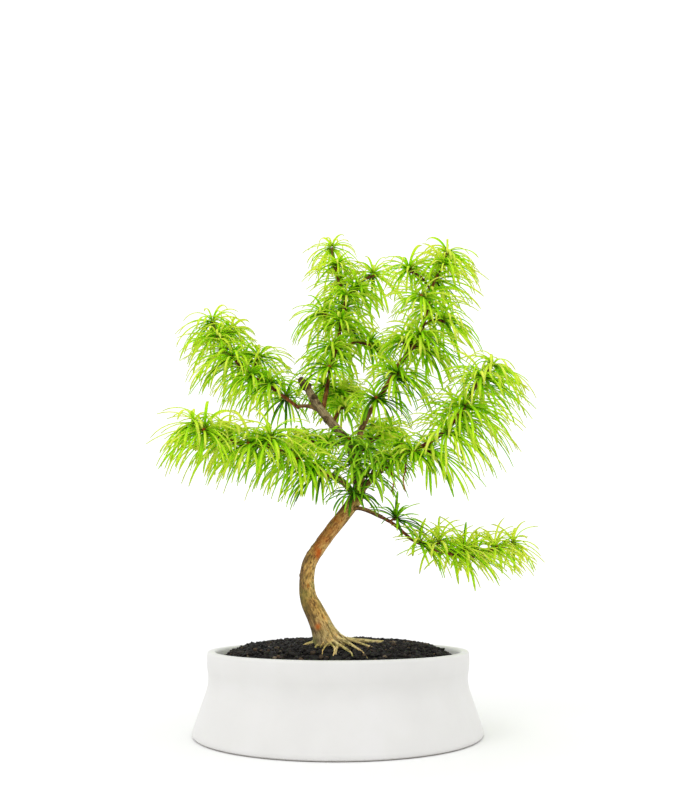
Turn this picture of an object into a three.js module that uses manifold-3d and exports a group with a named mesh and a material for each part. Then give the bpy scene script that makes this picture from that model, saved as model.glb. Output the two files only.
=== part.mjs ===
// Golden larch bonsai in a round white ceramic pot. Millimetres, +Z up, the foot on z = 0, the viewer on
// the -Y side. All sizes below count from the pot's axis. The whole is moved along X at the end, so that
// the origin lies under the middle of its overall width.
//
// Pieces: the pot, a drainage mesh over its hole, the soil, the woody tree (trunk, limbs, bare twigs and
// surface roots, grown as one), and one piece for each leafy branch or tuft: its slim stem, its short
// knobby spurs and the soft flat needles that stand round each spur like the ribs of an umbrella.
import * as THREE from 'three';
import Module from 'manifold-3d';
import { mergeVertices } from 'three/addons/utils/BufferGeometryUtils.js';

const wasm = await Module();
wasm.setup();

// Pot
const POT_AXIS_X = -9;
const POT_SEGMENTS = 36;
const WALL = 6.5;
const RIM_RADIUS = 95;
const RIM_TOP = 56.4;
const NECK_RADIUS = 92.3;
const NECK_HEIGHT = 35.5;
const BASE_RADIUS = 103.2;
const FLOOR_TOP = 8;
const FOOT_RECESS = 3;
const DRAIN_HOLE_RADIUS = 10;
const GAP = 0.3;

// Drainage mesh
const MESH_RADIUS = 13.5;
const MESH_THICKNESS = 1.2;
const MESH_OPENING = 3.4;
const MESH_PITCH = 5.6;

// Soil surface: radius and height of the mound, from the centre to the wall
const SOIL_TOP = [[0, 62.6], [45, 61.8], [66, 59.4], [78, 55], [87.5, 49.5]];

// Woody tree: centre lines [x, y, z, radius]
const TRUNK = [
  [-2, -38, 40, 7], [-4, -38, 54, 10.5], [-7, -38, 63, 10], [-11, -36, 73, 8], [-16, -33, 83, 6.8],
  [-21, -30, 92, 6.1], [-23, -26, 104, 5.6], [-21, -21, 118, 5.4], [-14, -16, 130, 5.2],
  [-4, -11, 144, 5.2], [6, -6, 157, 5.3], [15, -1, 171, 5.3], [15, 1, 186, 4.5], [12, 3, 201, 4],
  [4, 5, 215, 3.7], [-7, 7, 229, 3.5], [-17, 9, 242, 3.6], [-24, 11, 254, 3.3], [-29, 12, 263, 3.1],
];
const LIMBS = {
  upper_right: [[14, 1, 188, 2.6], [14, -1, 202, 2.5], [16, -2, 216, 2.4], [21, -5, 229, 2.3], [26, -7, 237, 2.1]],
  right: [[14, -1, 168, 2.8], [19, -3, 175, 2.5], [26, -6, 182, 2.3], [34, -10, 189, 2.1]],
  left: [[12, -3, 165, 2.8], [8, -6, 174, 2.6], [1, -10, 180, 2.4], [-7, -14, 183, 2.2]],
  low_right: [[6, -7, 158, 2], [14, -8, 159, 1.7], [22, -9, 157, 1.6], [33, -8, 152, 1.5]],
  far_left: [[-14, 9, 238, 2.2], [-20, 10, 241, 1.7], [-27, 12, 243, 1.6], [-34, 15, 243, 1.5]],
};
// Surface roots: compass angle from +X in degrees, reach from the trunk, radius, height above soil at start
const ROOTS = [
  { angle: -18, reach: 46, radius: 1.7, start: 9 },
  { angle: -40, reach: 35, radius: 2.1, start: 12 },
  { angle: -62, reach: 30, radius: 1.8, start: 8 },
  { angle: -92, reach: 24, radius: 1.8, start: 6 },
  { angle: -128, reach: 24, radius: 1.7, start: 5 },
  { angle: 176, reach: 30, radius: 2.2, start: 7 },
  { angle: 98, reach: 34, radius: 2.2, start: 6 },
  { angle: 32, reach: 64, radius: 1.6, start: 5 },
];

// Leafy branches: stem centre line [x, y, z], its radius at both ends, the needle length, and the point
// that each spur reaches. The last point of a stem carries a rosette of its own.
const BRANCHES = {
  branch_far_left: {
    stem: [[-34, 15, 243], [-46, 19, 253], [-59, 23, 263], [-74, 27, 273], [-91, 32, 290], [-105, 38, 311],
      [-115, 44, 333]],
    radius: [1.5, 0.9], needle: 36,
    spurs: [[-104, 32, 308], [-94, 44, 317], [-89, 24, 287], [-100, 48, 301], [-68, 34, 290], [-73, 21, 270],
      [-83, 44, 286], [-56, 18, 262], [-64, 38, 270], [-44, 25, 253]],
  },
  branch_top_left: {
    stem: [[-13, 9, 240], [-11, 13, 252], [-7, 18, 277], [-1, 22, 302], [2, 26, 326], [5, 29, 343], [0, 31, 356],
      [-6, 34, 377], [-7, 36, 392]],
    radius: [1.9, 0.9], needle: 33,
    spurs: [[-2, 27, 372], [1, 40, 362], [29, 31, 365], [15, 26, 350], [5, 21, 341], [-14, 26, 327], [1, 15, 316],
      [11, 35, 315], [5, 42, 338], [26, 24, 300], [-6, 15, 293], [-8, 5, 273], [-2, 37, 298], [-12, 29, 264]],
  },
  branch_top_right: {
    stem: [[26, -7, 237], [29, -8, 242], [39, -11, 257], [47, -13, 271], [58, -15, 285], [66, -17, 302],
      [70, -18, 317], [72, -19, 327], [76, -20, 339], [83, -21, 351], [86, -22, 362]],
    radius: [2.1, 0.9], needle: 36,
    spurs: [[82, -28, 349], [56, -13, 351], [78, -11, 342], [64, -26, 322], [71, -5, 320], [82, -20, 305],
      [51, -13, 289], [62, -26, 291], [69, -6, 285], [57, 1, 295], [45, -19, 261], [43, 0, 264], [28, -18, 242]],
  },
  branch_right: {
    stem: [[34, -10, 189], [46, -16, 198], [57, -21, 201], [68, -26, 207], [79, -30, 214], [87, -33, 223],
      [94, -36, 232], [102, -40, 247], [114, -46, 261]],
    radius: [2.1, 1], needle: 42,
    spurs: [[104, -49, 251], [105, -31, 249], [92, -44, 230], [88, -24, 224], [80, -38, 211], [92, -18, 231],
      [69, -17, 201], [55, -29, 198], [48, -8, 207], [40, -20, 195]],
  },
  branch_left: {
    stem: [[-7, -14, 183], [-20, -20, 186], [-33, -28, 193], [-50, -38, 200], [-71, -44, 201], [-81, -47, 204],
      [-97, -51, 209], [-104, -54, 214]],
    radius: [2, 1], needle: 38,
    spurs: [[-95, -60, 208], [-81, -39, 206], [-91, -35, 210], [-64, -50, 200], [-49, -51, 204], [-58, -26, 204],
      [-37, -23, 199], [-30, -37, 191], [-19, -27, 187], [-13, -8, 186]],
  },
  branch_inner_left: {
    stem: [[7, 5, 211], [-1, 9, 211], [-9, 13, 212], [-25, 22, 216], [-36, 28, 221]],
    radius: [1.3, 0.8], needle: 22,
    spurs: [[-25, 15, 216], [-17, 26, 218], [-8, 8, 213]],
  },
  branch_low_right: {
    stem: [[33, -8, 152], [42, -5, 147], [56, 0, 136], [70, 4, 130], [84, 8, 126], [105, 14, 124], [123, 20, 130],
      [138, 25, 135]],
    radius: [1.4, 0.9], needle: 27,
    spurs: [[124, 28, 132], [121, 13, 131], [107, 14, 128], [96, 4, 128], [101, 22, 127], [88, 16, 129],
      [76, -1, 134], [71, 12, 132], [61, -6, 134], [43, -8, 151]],
  },
  branch_back_right: {
    stem: [[13, 3, 199], [20, 12, 208], [29, 30, 219], [38, 50, 228], [46, 72, 239]],
    radius: [1.6, 0.9], needle: 30,
    spurs: [[35, 39, 226], [44, 62, 234], [26, 31, 220], [29, 55, 236]],
  },
  branch_back: {
    stem: [[-5, 8, 228], [-1, 22, 240], [4, 42, 255], [6, 64, 275]],
    radius: [1.6, 0.9], needle: 30,
    spurs: [[0, 37, 259], [-2, 56, 263], [9, 50, 265], [3, 26, 245]],
  },
};
// Tufts that grow straight on old wood: the point on the wood and the point that the spur reaches
const TUFTS = {
  tuft_crotch: { root: [8, -5, 159], tip: [11, -15, 169], needle: 26 },
  tuft_fork: { root: [15, 1, 180], tip: [22, -7, 184], needle: 28 },
  tuft_leader: { root: [8, 4, 208], tip: [8, -5, 212], needle: 26 },
};

// Knobs: corners in each ring, the rings' angle from the pole, and sizes
const FOLD = 5;
const TUFT_FOLD = 6;
const RING_POLAR = 63.4 * Math.PI / 180;
const KNOB_RADIUS = 1.9;
const SPUR_RADIUS = 1.1;
// Needles: section, the share of their length where they are bent, the angle that they bend by, and the
// steepest slope that they hang at
const NEEDLE_WIDTH = 2.1;
const NEEDLE_THICKNESS = 0.95;
const MIDDLE = 0.5;
const BEND = 1.15;
const STEEPEST = 1.4;
// Needle lengths: shares of a branch's needle length for the three levels of faces on a knob, for the
// rosette at a stem's tip, and the gain of needles that grow outward from the middle of the crown
const LEVEL_LENGTH = [0.62, 0.94, 1];
const TIP_VIGOUR = 0.76;
const OUTWARD_GAIN = 0.2;
const CROWN_CENTRE = [10, 0];
// Share of the faces that grow a needle, and the room between the centre lines of needles
const NEEDLE_SHARE = 0.72;
const CLEAR_OTHER = 2.6;
const CLEAR_OWN = 2.3;
const TRIES = 10;

const UP = new THREE.Vector3(0, 0, 1);

const vector = (p) => new THREE.Vector3(p[0], p[1], p[2]);

// A repeatable number from 0 to 1 for each index
function jitter(index) {
  const value = Math.sin(index * 12.9898 + 4.1) * 43758.5453;
  return value - Math.floor(value);
}

// Closed body of rings of equal count, laid one after another and capped flat at both ends
function loft(rings) {
  const sides = rings[0].length;
  const last = (rings.length - 1) * sides;
  const index = [];
  for (let start = 0; start < last; start += sides) {
    for (let k = 0; k < sides; k++) {
      const [a, b] = [start + k, start + (k + 1) % sides];
      index.push(a, b, a + sides, b, b + sides, a + sides);
    }
  }
  for (let k = 1; k + 1 < sides; k++) index.push(0, k + 1, k, last, last + k, last + k + 1);
  return pointsAndFaces(rings.flat(), index);
}

function pointsAndFaces(points, index) {
  const geometry = new THREE.BufferGeometry();
  geometry.setAttribute('position', new THREE.Float32BufferAttribute(points.flatMap((p) => p.toArray()), 3));
  geometry.setIndex(index);
  return geometry;
}

// three.js geometry to a closed solid, turned outward if its volume comes out negative
function solid(geometry) {
  const plain = geometry.clone();
  plain.deleteAttribute('normal');
  plain.deleteAttribute('uv');
  const merged = mergeVertices(plain, 1e-5);
  const p = merged.attributes.position.array;
  const t = Uint32Array.from(merged.index.array);
  let volume = 0;
  for (let i = 0; i < t.length; i += 3) {
    const [a, b, c] = [t[i] * 3, t[i + 1] * 3, t[i + 2] * 3];
    volume += p[a] * (p[b + 1] * p[c + 2] - p[b + 2] * p[c + 1])
      - p[a + 1] * (p[b] * p[c + 2] - p[b + 2] * p[c])
      + p[a + 2] * (p[b] * p[c + 1] - p[b + 1] * p[c]);
  }
  if (volume < 0) {
    for (let i = 0; i < t.length; i += 3) [t[i + 1], t[i + 2]] = [t[i + 2], t[i + 1]];
  }
  return new wasm.Manifold(new wasm.Mesh({ numProp: 3, vertProperties: Float32Array.from(p), triVerts: t }));
}

const join = (solids) => solids.reduce((all, next) => all.add(next));

// The largest body of a solid, without loose scraps
function largest(body) {
  return body.decompose().reduce((best, part) => (part.volume() > best.volume() ? part : best));
}

// Points along a smooth line through the control points, about one for each `step` millimetres
function smoothLine(controls, step) {
  const curve = new THREE.CatmullRomCurve3(controls.map(vector), false, 'centripetal');
  const count = Math.max(3, Math.round(curve.getLength() / step));
  return curve.getSpacedPoints(count);
}

// Radius along a line, given at its controls and read off by the share of its length
function radiusAlong(controls, share) {
  const lengths = [0];
  for (let i = 1; i < controls.length; i++) {
    lengths.push(lengths[i - 1] + vector(controls[i]).distanceTo(vector(controls[i - 1])));
  }
  const wanted = share * lengths[lengths.length - 1];
  let i = 1;
  while (i < controls.length - 1 && lengths[i] < wanted) i++;
  const t = (wanted - lengths[i - 1]) / (lengths[i] - lengths[i - 1]);
  return THREE.MathUtils.lerp(controls[i - 1][3], controls[i][3], Math.min(1, t));
}

// Round bar along points; radius(share) gives its radius; the frame is carried along without twist
function bar(points, radius, sides) {
  const rings = [];
  let side = new THREE.Vector3(1, 0, 0);
  for (let i = 0; i < points.length; i++) {
    const before = points[Math.max(0, i - 1)];
    const after = points[Math.min(points.length - 1, i + 1)];
    const along = after.clone().sub(before).normalize();
    side = side.clone().addScaledVector(along, -side.dot(along));
    if (side.length() < 0.1) side = new THREE.Vector3(0, 1, 0).addScaledVector(along, -along.y);
    side.normalize();
    const other = along.clone().cross(side);
    const r = radius(i / (points.length - 1));
    const ring = [];
    for (let k = 0; k < sides; k++) {
      const angle = 2 * Math.PI * k / sides;
      ring.push(points[i].clone()
        .addScaledVector(side, r * Math.cos(angle)).addScaledVector(other, r * Math.sin(angle)));
    }
    rings.push(ring);
  }
  return loft(rings);
}

// Turned solid from a closed profile of [radius, height]
function turned(profile, segments) {
  const points = profile.map(([r, z]) => new THREE.Vector2(r, z));
  points.push(points[0].clone());
  const geometry = new THREE.LatheGeometry(points, segments);
  geometry.rotateX(Math.PI / 2);
  return solid(geometry);
}

// Height of the soil at a distance from the pot's axis
function soilHeight(radius) {
  let i = 1;
  while (i < SOIL_TOP.length - 1 && SOIL_TOP[i][0] < radius) i++;
  const [r0, z0] = SOIL_TOP[i - 1];
  const [r1, z1] = SOIL_TOP[i];
  return z0 + (z1 - z0) * (radius - r0) / (r1 - r0);
}

// Pot: a straight flare from the base to the neck, a crease, a swelling rim band, even wall inside
const INNER_WALL = [
  [RIM_RADIUS - WALL - 0.2, RIM_TOP - 1.6], [NECK_RADIUS - WALL, NECK_HEIGHT], [BASE_RADIUS - WALL - 3, 13],
  [BASE_RADIUS - WALL - 6, FLOOR_TOP],
];
const OUTER_WALL = [
  [BASE_RADIUS - 12, 0], [BASE_RADIUS - 1.8, 0], [BASE_RADIUS - 0.5, 0.8], [BASE_RADIUS, 2.6],
  [NECK_RADIUS, NECK_HEIGHT], [RIM_RADIUS - 1, NECK_HEIGHT + 5], [RIM_RADIUS - 0.1, NECK_HEIGHT + 10.5],
  [RIM_RADIUS, RIM_TOP - 1.4], [RIM_RADIUS - 1.4, RIM_TOP], [RIM_RADIUS - WALL + 1.4, RIM_TOP],
];
const pot = turned([
  ...OUTER_WALL, ...INNER_WALL, [DRAIN_HOLE_RADIUS, FLOOR_TOP], [DRAIN_HOLE_RADIUS, FOOT_RECESS],
  [BASE_RADIUS - 13.5, FOOT_RECESS],
], POT_SEGMENTS);

// Drainage mesh: a round of plastic netting laid on the pot's floor over the hole
const meshBottom = FLOOR_TOP + GAP;
const meshTop = meshBottom + MESH_THICKNESS;
let drainageMesh = turned([[0, meshBottom], [MESH_RADIUS, meshBottom], [MESH_RADIUS, meshTop], [0, meshTop]], 20);
for (let i = -1; i <= 1; i++) {
  for (let j = -1; j <= 1; j++) {
    const opening = new THREE.BoxGeometry(MESH_OPENING, MESH_OPENING, 4);
    opening.translate(i * MESH_PITCH, j * MESH_PITCH, meshBottom);
    drainageMesh = drainageMesh.subtract(solid(opening));
  }
}

// Points of a line with both ends moved out by a length
function extended(points, length) {
  const last = points.length - 1;
  const moved = points.map((p) => p.clone());
  moved[0].addScaledVector(points[0].clone().sub(points[1]).normalize(), length);
  moved[last].addScaledVector(points[last].clone().sub(points[last - 1]).normalize(), length);
  return moved;
}

// Centre line of a surface root: it leaves the trunk's foot, comes down on the soil, runs along it half
// sunk and ends below it
function rootLine(root) {
  const foot = vector(TRUNK[2]);
  const angle = root.angle * Math.PI / 180;
  return [0, 0.25, 0.5, 0.75, 1].map((share) => {
    const run = share * root.reach;
    const sway = 0.05 * root.reach * Math.sin(share * 7 + root.angle);
    const x = foot.x + run * Math.cos(angle) - sway * Math.sin(angle);
    const y = foot.y + run * Math.sin(angle) + sway * Math.cos(angle);
    const lift = root.start * (1 - share) ** 4 + 0.35 * root.radius - 6 * share ** 6;
    return [x, y, soilHeight(Math.hypot(x, y)) + lift];
  });
}

// Bars of the woody tree, at their own size or grown by a gap to open their place in a neighbour
function woodBars(grow) {
  const wood = (controls, step, radius, sides) => (
    solid(bar(extended(smoothLine(controls, step), grow), (share) => radius(share) + grow, sides)));
  return [
    wood(TRUNK, 7.5, (share) => radiusAlong(TRUNK, share), 10),
    ...Object.values(LIMBS).map((limb) => wood(limb, 8, (share) => radiusAlong(limb, share), 6)),
    ...ROOTS.map((root) => wood(rootLine(root), root.reach / 5, (share) => root.radius * (1.25 - 0.75 * share), 5)),
  ];
}
const wood = largest(join(woodBars(0)));

// Soil: fills the pot to 0.3 mm from its wall, heaped to a low mound, with a plain hole for the tree
let soil = turned([
  [0, meshTop + GAP], [MESH_RADIUS + GAP, meshTop + GAP], [MESH_RADIUS + GAP, FLOOR_TOP + GAP],
  [BASE_RADIUS - WALL - 6 - 2 * GAP, FLOOR_TOP + GAP], [BASE_RADIUS - WALL - 3 - 2 * GAP, 13],
  [NECK_RADIUS - WALL - GAP, NECK_HEIGHT], ...[...SOIL_TOP].reverse(),
], POT_SEGMENTS);
const woodWithGap = join(woodBars(GAP));
soil = largest(soil.subtract(woodWithGap));

// Segments already taken by wood and needles; `origin` is the middle of the knob that a needle stands on
const taken = [];

function take(node, kind, a, b, radius, origin = null) {
  const centre = a.clone().add(b).multiplyScalar(0.5);
  taken.push({ node, kind, a, b, radius, origin, centre, half: a.distanceTo(b) / 2 });
}

// Shortest distance between two segments
function segmentDistance(p1, q1, p2, q2) {
  const d1 = q1.clone().sub(p1);
  const d2 = q2.clone().sub(p2);
  const r = p1.clone().sub(p2);
  const a = d1.dot(d1);
  const e = d2.dot(d2);
  const b = d1.dot(d2);
  const c = d1.dot(r);
  const f = d2.dot(r);
  const spread = a * e - b * b;
  let s = spread > 1e-9 ? THREE.MathUtils.clamp((b * f - c * e) / spread, 0, 1) : 0;
  let t = (b * s + f) / e;
  if (t < 0 || t > 1) {
    t = THREE.MathUtils.clamp(t, 0, 1);
    s = THREE.MathUtils.clamp((b * t - c) / a, 0, 1);
  }
  return p1.clone().addScaledVector(d1, s).distanceTo(p2.clone().addScaledVector(d2, t));
}

// The room that a needle must leave to another segment; 0 where the two may touch
function roomTo(other, node, origin, kind) {
  if (other.node !== node) return CLEAR_OTHER + (other.kind === 'wood' ? other.radius - 0.8 : 0);
  if (other.kind === 'wood') return other.a === origin || other.b === origin ? 0 : other.radius + 1;
  if (other.origin === origin && (kind === 'root' || other.kind === 'root')) return 0;
  return CLEAR_OWN;
}

// Whether a segment of a needle leaves that room to all that is taken
function isClear(node, origin, kind, a, b) {
  const centre = a.clone().add(b).multiplyScalar(0.5);
  const half = a.distanceTo(b) / 2;
  return taken.every((other) => {
    const room = roomTo(other, node, origin, kind);
    if (room === 0 || centre.distanceTo(other.centre) > half + other.half + room) return true;
    return segmentDistance(a, b, other.a, other.b) >= room;
  });
}

// A needle is an arc in an upright plane. It leaves its root with the slope of `way` and turns downward at
// an even rate, by `bend` radians over its whole length:
// slope(s) = slope0 - bend s, and the point is the sum of (cos slope, sin slope) along the way.
function needlePoint(needle, s) {
  const { root, heading, slope, bend, length } = needle;
  const level = (Math.sin(slope) - Math.sin(slope - bend * s)) * length / bend;
  const rise = (Math.cos(slope - bend * s) - Math.cos(slope)) * length / bend;
  return root.clone().addScaledVector(heading, level).addScaledVector(UP, rise);
}

// Three points across a needle at share s: a flat blade with a low keel, level from side to side
function needleRing(needle, s) {
  const slope = needle.slope - needle.bend * s;
  const across = needle.heading.clone().cross(UP);
  const keel = needle.heading.clone().multiplyScalar(-Math.sin(slope)).addScaledVector(UP, Math.cos(slope));
  const p = needlePoint(needle, s);
  return [
    p.clone().addScaledVector(across, NEEDLE_WIDTH / 2).addScaledVector(keel, -NEEDLE_THICKNESS / 3),
    p.clone().addScaledVector(across, -NEEDLE_WIDTH / 2).addScaledVector(keel, -NEEDLE_THICKNESS / 3),
    p.clone().addScaledVector(keel, NEEDLE_THICKNESS * 2 / 3),
  ];
}

// A needle from a root with a clear way near the wanted one, or nothing if there is none
function clearNeedle(node, origin, root, wanted, length, seed) {
  for (let attempt = 0; attempt < TRIES; attempt++) {
    const sway = 0.05 + 0.03 * attempt;
    const way = wanted.clone().add(new THREE.Vector3(
      sway * (jitter(seed + attempt * 7.3) - 0.5) * 2,
      sway * (jitter(seed + attempt * 3.1 + 0.4) - 0.5) * 2,
      sway * (jitter(seed + attempt * 5.7 + 0.8) - 0.5) * 2,
    )).normalize();
    const slope = Math.asin(way.z);
    const bend = Math.min(BEND * (0.75 + 0.5 * jitter(seed + attempt * 2.3)), Math.max(0.15, slope + STEEPEST));
    const needle = { root, heading: new THREE.Vector3(way.x, way.y, 0).normalize(), slope, bend, length };
    const middle = needlePoint(needle, MIDDLE);
    const line = [root.clone().lerp(middle, 0.1), root.clone().lerp(middle, 0.5), middle, needlePoint(needle, 1)];
    const kinds = ['root', 'needle', 'needle'];
    if (kinds.every((kind, i) => isClear(node, origin, kind, line[i], line[i + 1]))) {
      kinds.forEach((kind, i) => take(node, kind, line[i], line[i + 1], 1, origin));
      return needle;
    }
  }
  return null;
}

// Raises a needle from a face: its root ring is the face itself, then one ring, then the tip. Each side is
// cut along its shorter diagonal, which keeps a turned needle from folding in on itself.
function growNeedle(points, index, face, needle) {
  const ring = needleRing(needle, MIDDLE);
  const middle = needlePoint(needle, MIDDLE);
  const mismatch = (turn) => face.reduce((sum, corner, i) => (
    sum + points[corner].clone().sub(needle.root).distanceTo(ring[(i + turn) % 3].clone().sub(middle))), 0);
  const turn = [0, 1, 2].reduce((best, next) => (mismatch(next) < mismatch(best) ? next : best));
  const first = points.length;
  for (let i = 0; i < 3; i++) points.push(ring[(i + turn) % 3]);
  points.push(needlePoint(needle, 1));
  for (let i = 0; i < 3; i++) {
    const next = (i + 1) % 3;
    const [a, b, c, d] = [face[i], face[next], first + next, first + i];
    if (points[a].distanceTo(points[c]) < points[b].distanceTo(points[d])) index.push(a, b, c, a, c, d);
    else index.push(a, b, d, b, c, d);
    index.push(d, c, first + 3);
  }
}

// Level way from the middle of the crown to a point: needles that grow that way are longer
function outOfCrown(point) {
  return new THREE.Vector3(point.x - CROWN_CENTRE[0], point.y - CROWN_CENTRE[1], 0).normalize();
}

// A rosette on its spur. The knob has a pole, two staggered rings of `fold` corners, and the spur's end in
// the stem as a third ring, or a second pole where it stands on the stem's tip. Each of its 3 x fold upper
// faces may grow into a needle.
function rosette(node, from, centre, axis, fold, length, seed) {
  const side = (Math.abs(axis.z) < 0.9 ? axis.clone().cross(UP) : new THREE.Vector3(1, 0, 0).cross(axis)).normalize();
  const other = axis.clone().cross(side);
  const at = (polar, azimuth) => centre.clone().addScaledVector(axis, KNOB_RADIUS * Math.cos(polar))
    .addScaledVector(side, KNOB_RADIUS * Math.sin(polar) * Math.cos(azimuth))
    .addScaledVector(other, KNOB_RADIUS * Math.sin(polar) * Math.sin(azimuth));
  const points = [at(0, 0)];
  for (let k = 0; k < fold; k++) points.push(at(RING_POLAR, seed + 2 * Math.PI * k / fold));
  for (let k = 0; k < fold; k++) points.push(at(Math.PI - RING_POLAR, seed + 2 * Math.PI * (k + 0.5) / fold));
  const bottom = points.length;
  if (from) {
    const back = from.clone().sub(centre).normalize();
    const spurSide = points[1 + fold].clone().sub(centre);
    spurSide.addScaledVector(back, -spurSide.dot(back)).normalize();
    const spurOther = spurSide.clone().cross(back);
    for (let k = 0; k < fold; k++) {
      const angle = 2 * Math.PI * k / fold;
      points.push(from.clone().addScaledVector(spurSide, SPUR_RADIUS * Math.cos(angle))
        .addScaledVector(spurOther, SPUR_RADIUS * Math.sin(angle)));
    }
  } else {
    points.push(at(Math.PI, 0));
  }
  const index = [];
  for (let k = 0; k < fold; k++) {
    const next = (k + 1) % fold;
    const [high, nextHigh, low, nextLow] = [1 + k, 1 + next, 1 + fold + k, 1 + fold + next];
    [[0, high, nextHigh], [high, low, nextHigh], [nextHigh, low, nextLow]].forEach((face, level) => {
      const corners = face.map((i) => points[i]);
      const root = corners[0].clone().add(corners[1]).add(corners[2]).divideScalar(3);
      const number = seed * 31 + k * 3 + level;
      const wanted = root.clone().sub(centre).normalize();
      const size = length * (LEVEL_LENGTH[level] + 0.24 * (jitter(number) - 0.5))
        * (1 + OUTWARD_GAIN * wanted.dot(outOfCrown(centre)));
      const grows = jitter(number + 0.7) < NEEDLE_SHARE;
      const needle = grows && clearNeedle(node, centre, root, wanted, size, number);
      if (needle) growNeedle(points, index, face, needle);
      else index.push(...face);
    });
    if (from) {
      index.push(low, bottom + k, nextLow, nextLow, bottom + k, bottom + next);
      if (k > 0 && k + 1 < fold) index.push(bottom, bottom + next, bottom + k);
    } else {
      index.push(bottom, nextLow, low);
    }
  }
  return solid(pointsAndFaces(points, index));
}

// Nearest point of a line of points, and the way the line runs there
function nearestOnLine(points, wanted) {
  let best = { distance: Infinity };
  for (let i = 0; i + 1 < points.length; i++) {
    const line = new THREE.Line3(points[i], points[i + 1]);
    const at = line.closestPointToPoint(wanted, true, new THREE.Vector3());
    const distance = at.distanceTo(wanted);
    if (distance < best.distance) {
      best = { distance, at, index: i, along: points[i + 1].clone().sub(points[i]).normalize() };
    }
  }
  return best;
}

// Where each branch's spurs leave its stem, a little nearer the trunk than the spur's tip
function branchPlan(name, branch) {
  const line = smoothLine(branch.stem, 11);
  const spurs = branch.spurs.map((spur) => {
    const tip = vector(spur);
    const near = nearestOnLine(line, tip);
    const back = Math.min(0.5 * near.distance, near.at.distanceTo(line[0]) * 0.8);
    const from = nearestOnLine(line, near.at.clone().addScaledVector(near.along, -back)).at;
    return { tip, from, along: near.along, share: near.index / (line.length - 2) };
  });
  return { name, line, spurs, branch };
}

// Centre line of the woody tree, taken first so that no needle touches it
const woodLines = [TRUNK, ...Object.values(LIMBS)];
for (const controls of woodLines) {
  const line = smoothLine(controls, 8);
  for (let i = 0; i + 1 < line.length; i++) {
    take('tree', 'wood', line[i], line[i + 1], radiusAlong(controls, i / (line.length - 1)));
  }
}
const plans = Object.entries(BRANCHES).map(([name, branch]) => branchPlan(name, branch));
for (const plan of plans) {
  for (let i = 0; i + 1 < plan.line.length; i++) {
    take(plan.name, 'wood', plan.line[i], plan.line[i + 1], plan.branch.radius[0]);
  }
  for (const spur of plan.spurs) take(plan.name, 'wood', spur.from, spur.tip, KNOB_RADIUS);
}
for (const [name, tuft] of Object.entries(TUFTS)) {
  tuft.knob = vector(tuft.tip);
  take(name, 'wood', vector(tuft.root), tuft.knob, KNOB_RADIUS);
}

// One leafy branch: stem, spurs and rosettes
function leafyBranch(plan, order) {
  const { name, line, spurs, branch } = plan;
  const [thick, thin] = branch.radius;
  const parts = [solid(bar(line, (share) => THREE.MathUtils.lerp(thick, thin, share), 5))];
  spurs.forEach((spur, k) => {
    const outward = spur.tip.clone().sub(spur.from).normalize();
    const axis = UP.clone().multiplyScalar(0.6).addScaledVector(outward, 0.6).addScaledVector(spur.along, 0.2)
      .addScaledVector(outOfCrown(spur.tip), 0.25);
    const vigour = 0.6 + 0.48 * Math.sin(Math.PI * (0.06 + 0.8 * spur.share));
    const length = branch.needle * vigour * (0.92 + 0.16 * jitter(order * 5 + k));
    parts.push(rosette(name, spur.from, spur.tip, axis.normalize(), FOLD, length, order * 13 + k));
  });
  const tip = line[line.length - 1];
  const along = tip.clone().sub(line[line.length - 2]).normalize();
  const tipAxis = along.clone().addScaledVector(UP, 0.3).normalize();
  parts.push(rosette(name, null, tip, tipAxis, FOLD, branch.needle * TIP_VIGOUR, order * 13 + 50));
  return join(parts);
}

// A tuft on old wood: one spur and its rosette
function tuftSolid(name, tuft, order) {
  const root = vector(tuft.root);
  const tip = tuft.knob;
  const axis = UP.clone().multiplyScalar(0.5).add(tip.clone().sub(root).normalize()).normalize();
  return rosette(name, root, tip, axis, TUFT_FOLD, tuft.needle, 700 + order);
}

// Meshes
const group = new THREE.Group();
group.name = 'golden_larch_bonsai';
group.position.x = POT_AXIS_X;

function addPiece(name, body, colour, roughness) {
  const { numProp, vertProperties, triVerts } = body.getMesh();
  const positions = [];
  for (let i = 0; i < vertProperties.length; i += numProp) {
    positions.push(vertProperties[i], vertProperties[i + 1], vertProperties[i + 2]);
  }
  const geometry = new THREE.BufferGeometry();
  geometry.setAttribute('position', new THREE.Float32BufferAttribute(positions, 3));
  geometry.setIndex([...triVerts]);
  geometry.computeVertexNormals();
  const material = new THREE.MeshStandardMaterial({ color: colour, roughness, metalness: 0 });
  const mesh = new THREE.Mesh(geometry, material);
  mesh.name = name;
  group.add(mesh);
}

addPiece('pot', pot, '#efeeec', 0.35);
addPiece('drainage_mesh', drainageMesh, '#2b2f2c', 0.6);
addPiece('soil', soil, '#1d1a17', 0.95);
addPiece('trunk_and_roots', wood, '#b89868', 0.85);
plans.forEach((plan, order) => {
  addPiece(plan.name, largest(leafyBranch(plan, order + 1).subtract(woodWithGap)), '#7cbb10', 0.55);
});
Object.entries(TUFTS).forEach(([name, tuft], order) => {
  addPiece(name, largest(tuftSolid(name, tuft, order).subtract(woodWithGap)), '#5c9c14', 0.55);
});

export default group;
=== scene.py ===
"""Golden larch bonsai in a round white ceramic pot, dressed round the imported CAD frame.

All shapes are worked out in millimetres from the pot's axis. The last step of each mesh moves them into the
frame, in metres.
"""

import math

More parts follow.
